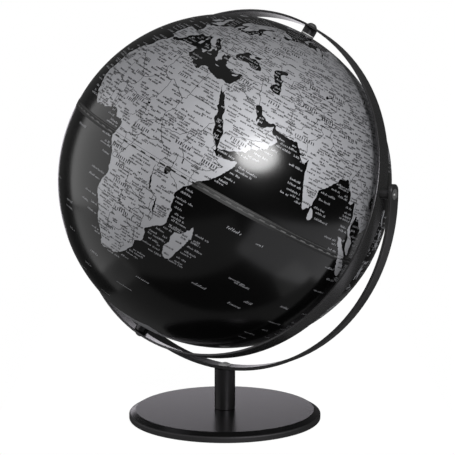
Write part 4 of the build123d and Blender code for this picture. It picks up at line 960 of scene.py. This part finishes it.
def paintFinish(name, low, high, roughness, wear=None, roughRimAndSheen=None, peel=1.0):
    # Powder paint, paler where edges rub, rougher on a rim and lighter there as a painted reflection of the
    # floor; peel is how much of its skin shows
    made = Finish(name, Specular_Tint=(0.97, 0.93, 1.0, 1.0))
    mix = 0.5 * made.noise(1500, 3, 0.6) + 0.5 * made.noise(30, 4)
    colour = made.blend(mix, grey(low), grey(high))
    if wear:
        colour = made.blend(wear(made) * made.noise(240, 4).between(0.4, 0.75) * 0.12, colour, grey(0.1))
    rough = roughness + 0.12 * peel * (made.noise(700, 3) - 0.5)
    if roughRimAndSheen:
        # painted reflection: the rim's lighter grey stands in for the floor mirrored in the foot's side
        colour = made.blend(roughRimAndSheen(made), colour, grey(0.018))
        rough = rough + 0.3 * roughRimAndSheen(made)
    made.feed("Base Color", colour)
    made.feed("Roughness", rough)
    made.bump(made.noise(500, 2, 0.6), 0.006 * mm, 0.6 * peel)
    return made


def metalFinish(name, low, high, roughness, metallic=1.0):
    made = Finish(name, Metallic=metallic)
    scratch = made.noise(900, 5, 0.7)
    made.feed("Base Color", made.blend(made.noise(160, 4), grey(low), grey(high)))
    made.feed("Roughness", roughness + 0.14 * scratch)
    made.bump(scratch, 0.01 * mm, 0.4)
    return made


ringAxis = Matrix.Rotation(radians(paintEdges["ringSwing"]), 3, "X") @ Vector((0, 1, 0))
finishes = {
    "foot": paintFinish(
        "foot_black", 0.003, 0.006, 0.27, peel=0.12,
        wear=lambda paint: paint.fromAxis().between(*paintEdges["footRim"]),
        # the foot's side below the bevel: rougher, and lighter grey as a painted reflection of the floor
        roughRimAndSheen=lambda paint: 1 - paint.along((0, 0, 1)).between(*paintEdges["footSide"]),
    ),
    "ring": paintFinish(
        "ring_black", 0.016, 0.026, 0.28,
        wear=lambda paint: abs(paint.along(ringAxis, centre)).between(*paintEdges["ringEdge"]),
    ),
    "cradle": paintFinish(
        "cradle_black", 0.016, 0.026, 0.32,
        wear=lambda paint: abs(paint.along((0, 1, 0))).between(*paintEdges["cradleEdge"]),
    ),
    "post": paintFinish("post_black", 0.005, 0.01, 0.36),
    "screw": metalFinish("screw_black", 0.16, 0.28, 0.3, 0.8),
    "pivot": metalFinish("screw_steel", 0.4, 0.58, 0.3, 0.9),
    "bright": metalFinish("screw_bright", 0.8, 0.92, 0.34, 0.25),
    "rod": metalFinish("rod_steel", 0.35, 0.5, 0.25),
    "collar": paintFinish("collar_black", 0.014, 0.026, 0.3),
    "nylon": inkFinish("washer_nylon", 0.55, 0.68),
    "darkNylon": inkFinish("washer_dark", 0.012, 0.025),
    "rubber": paintFinish("pad_rubber", 0.012, 0.03, 0.8),
    "plastic": inkFinish("bush_plastic", 0.03, 0.06),
    "sea": seaFinish(),
    "land": landFinish(),
    "darkInk": inkFinish("ink_dark", 0.004, 0.012),
    "faintInk": inkFinish("ink_faint", 0.09, 0.14),
    "strip": stripFinish(),
}
nodeFinish = {
    "foot": ("base_plate",),
    "rubber": ("base_pad",),
    "post": ("post",),
    "cradle": ("cradle",),
    "ring": ("meridian_ring",),
    "bright": ("cradle_screw", "base_screw"),
    "screw": ("north_pole_screw", "south_pole_screw", "right_pivot_nut", "left_pivot_nut"),
    "pivot": ("right_pivot_screw", "left_pivot_screw"),
    "collar": ("north_pole_spacer", "south_pole_spacer", "right_pivot_spacer", "left_pivot_spacer"),
    "nylon": ("north_thrust_washer", "south_thrust_washer"),
    "darkNylon": ("right_pivot_washer", "left_pivot_washer"),
    "rod": ("axle",),
    "plastic": ("north_pole_bush", "south_pole_bush", "equator_joint_band"),
}
for key, names in nodeFinish.items():
    for name in names:
        for holder in frame["nodes"][name].material_slots:
            holder.material = finishes[key].material
print("pieces painted")

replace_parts(makeHemisphere("north_ball", north, finishes["sea"]), "north_hemisphere")
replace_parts(makeHemisphere("south_ball", -north, finishes["sea"]), "south_hemisphere")
makeInk(makeLand(finishes["land"]), finishes)
print("globe printed")


view = {
    "focal": 1543.4,  # pixels of the frame
    "frame": 455.0,
    "sensor": 36.0,
    "distance": 1392.83 * mm,  # from the globe's centre
    "azimuth": 33.74,
    "elevation": 6.44,
    "centreAt": (224.86, 181.58),  # where the globe's centre falls in the frame
}


def aim(azimuth, elevation):  # unit arm from the globe's centre, azimuth to the right of the camera
    a, e = radians(view["azimuth"] + azimuth), radians(elevation)
    return Vector((sin(a) * cos(e), -cos(a) * cos(e), sin(e)))


back = aim(0, view["elevation"])
right = Vector((cos(radians(view["azimuth"])), sin(radians(view["azimuth"])), 0))
forward = -back
up = right.cross(forward)
pitch = atan((view["centreAt"][1] - view["frame"] / 2) / view["focal"])
forward, up = forward * cos(pitch) + up * sin(pitch), up * cos(pitch) - forward * sin(pitch)
yaw = atan((view["centreAt"][0] - view["frame"] / 2) / view["focal"] * cos(pitch))
forward, right = forward * cos(yaw) - right * sin(yaw), right * cos(yaw) + forward * sin(yaw)
lens = bpy.data.cameras.new("camera")
lens.sensor_width = view["sensor"]
lens.lens = view["focal"] / view["frame"] * view["sensor"]
lens.clip_start = 0.05
camera = bpy.data.objects.new("camera", lens)
bpy.context.scene.collection.objects.link(camera)
camera.matrix_world = Matrix.Translation(centre + back * view["distance"]) @ Matrix(
    (right, up, -forward)
).transposed().to_4x4()
bpy.context.scene.camera = camera
print("camera set")

lamps = {  # azimuth, elevation, distance, width, height, brightness
    "key": (21.8, 22.4, 1.6, 0.75, 0.57, 19.2),
    "leftCard": (-89.0, 12.3, 0.95, 1.26, 0.86, 1.08),
    "leftLow": (-103.5, -24.0, 0.95, 0.55, 0.4, 0.62),
    "leftFoot": (-102.0, -42.0, 0.95, 0.55, 0.24, 0.26),
    "rightCard": (64.0, -36.0, 0.8, 1.5, 0.48, 0.68),
    "rightLow": (95.0, -56.0, 0.8, 0.9, 0.24, 0.25),
    "frontLow": (-35.0, -36.0, 0.9, 1.5, 0.6, 0.15),
    "topCard": (0.0, 74.0, 1.3, 2.0, 1.6, 0.23),
    "backCard": (-173.5, -4.5, 1.2, 0.72, 0.36, 1.4),
}
tints = {"backCard": (0.965, 0.925, 1.0), "rightCard": (0.97, 0.97, 1.0)}  # the others are plain white
for name, (azimuth, elevation, distance, width, height, brightness) in lamps.items():
    light = bpy.data.lights.new(name, "AREA")
    light.color = tints.get(name, (1, 1, 1))
    light.shape = "ELLIPSE" if name == "key" else "RECTANGLE"
    light.size = width
    light.size_y = height
    area = width * height * (pi / 4 if name == "key" else 1)
    light.energy = brightness * pi * area
    lamp = bpy.data.objects.new(name, light)
    bpy.context.scene.collection.objects.link(lamp)
    arm = aim(azimuth, elevation)
    lamp.location = centre + arm * distance
    lamp.rotation_mode = "QUATERNION"
    lamp.rotation_quaternion = arm.to_track_quat("Z", "Y")
    lamp.visible_camera = False

studio = {
    "white": 1.0,  # the backdrop, as the camera sees it and as it mirrors in the object
    "room": 0.02,  # the dark room around, as it mirrors
    "ambient": 0.2,
    "backdropAim": (-178, -6),
    "backdropHalf": (4.0, 9.0),  # degrees from there, full and gone
    "halo": 0.05,  # dim light on the wall above it
    "haloAim": (-178, 16),
    "haloHalf": (20.0, 50.0),
}
world = bpy.data.worlds.new("studio")
bpy.context.scene.world = world
world.use_nodes = True
sky = Bench(world.node_tree)


def rays(bench, kind):  # 1 for rays of that kind
    return bench.node("ShaderNodeLightPath", {}, {}, kind)


def glow(middle, half):  # 1 around that direction, 0 away from it
    full, gone = (cos(radians(angle)) for angle in half)
    return sky.vector("DOT_PRODUCT", way, aim(*middle), output="Value").between(gone, full)


seen = rays(sky, "Is Camera Ray") + rays(sky, "Is Transmission Ray")
mirrored = rays(sky, "Is Glossy Ray") * (1 - seen)
way = sky.node("ShaderNodeTexCoord", {}, {}, "Generated")
mirror = studio["room"] + studio["halo"] * glow(studio["haloAim"], studio["haloHalf"])
mirror = mirror + (studio["white"] - mirror) * glow(studio["backdropAim"], studio["backdropHalf"])
level = studio["white"] * seen + mirror * mirrored + studio["ambient"] * (1 - seen - mirrored)
background = world.node_tree.nodes["Background"]
background.inputs["Strength"].default_value = 1.0
sky.plug(background.inputs["Color"], level)

floorSheet = {
    "size": (0.42, 1.27, 1),  # across the view and along it
    "middle": (0, 0.525, -0.0002),
    "grey": 0.16,
    "white": 0.95,  # as the camera sees it, and as its far end mirrors in the object
    "farEnd": (0.75, 1.0),  # metres behind the object
}
pale = Finish("floor_pale", Roughness=0.9, Specular_IOR_Level=0.0, Emission_Strength=1.0)
pale.feed("Base Color", grey(floorSheet["grey"]))
direct, glossy = rays(pale, "Is Camera Ray"), rays(pale, "Is Glossy Ray")
farther = pale.along((-back.x, -back.y, 0)).between(*floorSheet["farEnd"])
pale.feed("Emission Color", floorSheet["white"] * (direct + glossy * (1 - direct) * farther))
bm = bmesh.new()
bmesh.ops.create_grid(bm, x_segments=1, y_segments=1, size=0.5)
bmesh.ops.scale(bm, vec=floorSheet["size"], verts=bm.verts[:])
bmesh.ops.translate(bm, vec=floorSheet["middle"], verts=bm.verts[:])
bmesh.ops.rotate(bm, matrix=Matrix.Rotation(radians(view["azimuth"]), 3, "Z"), verts=bm.verts[:])
floor = makePiece("floor", bm, pale)

bpy.context.scene.view_settings.view_transform = "Standard"
print("stage lit")
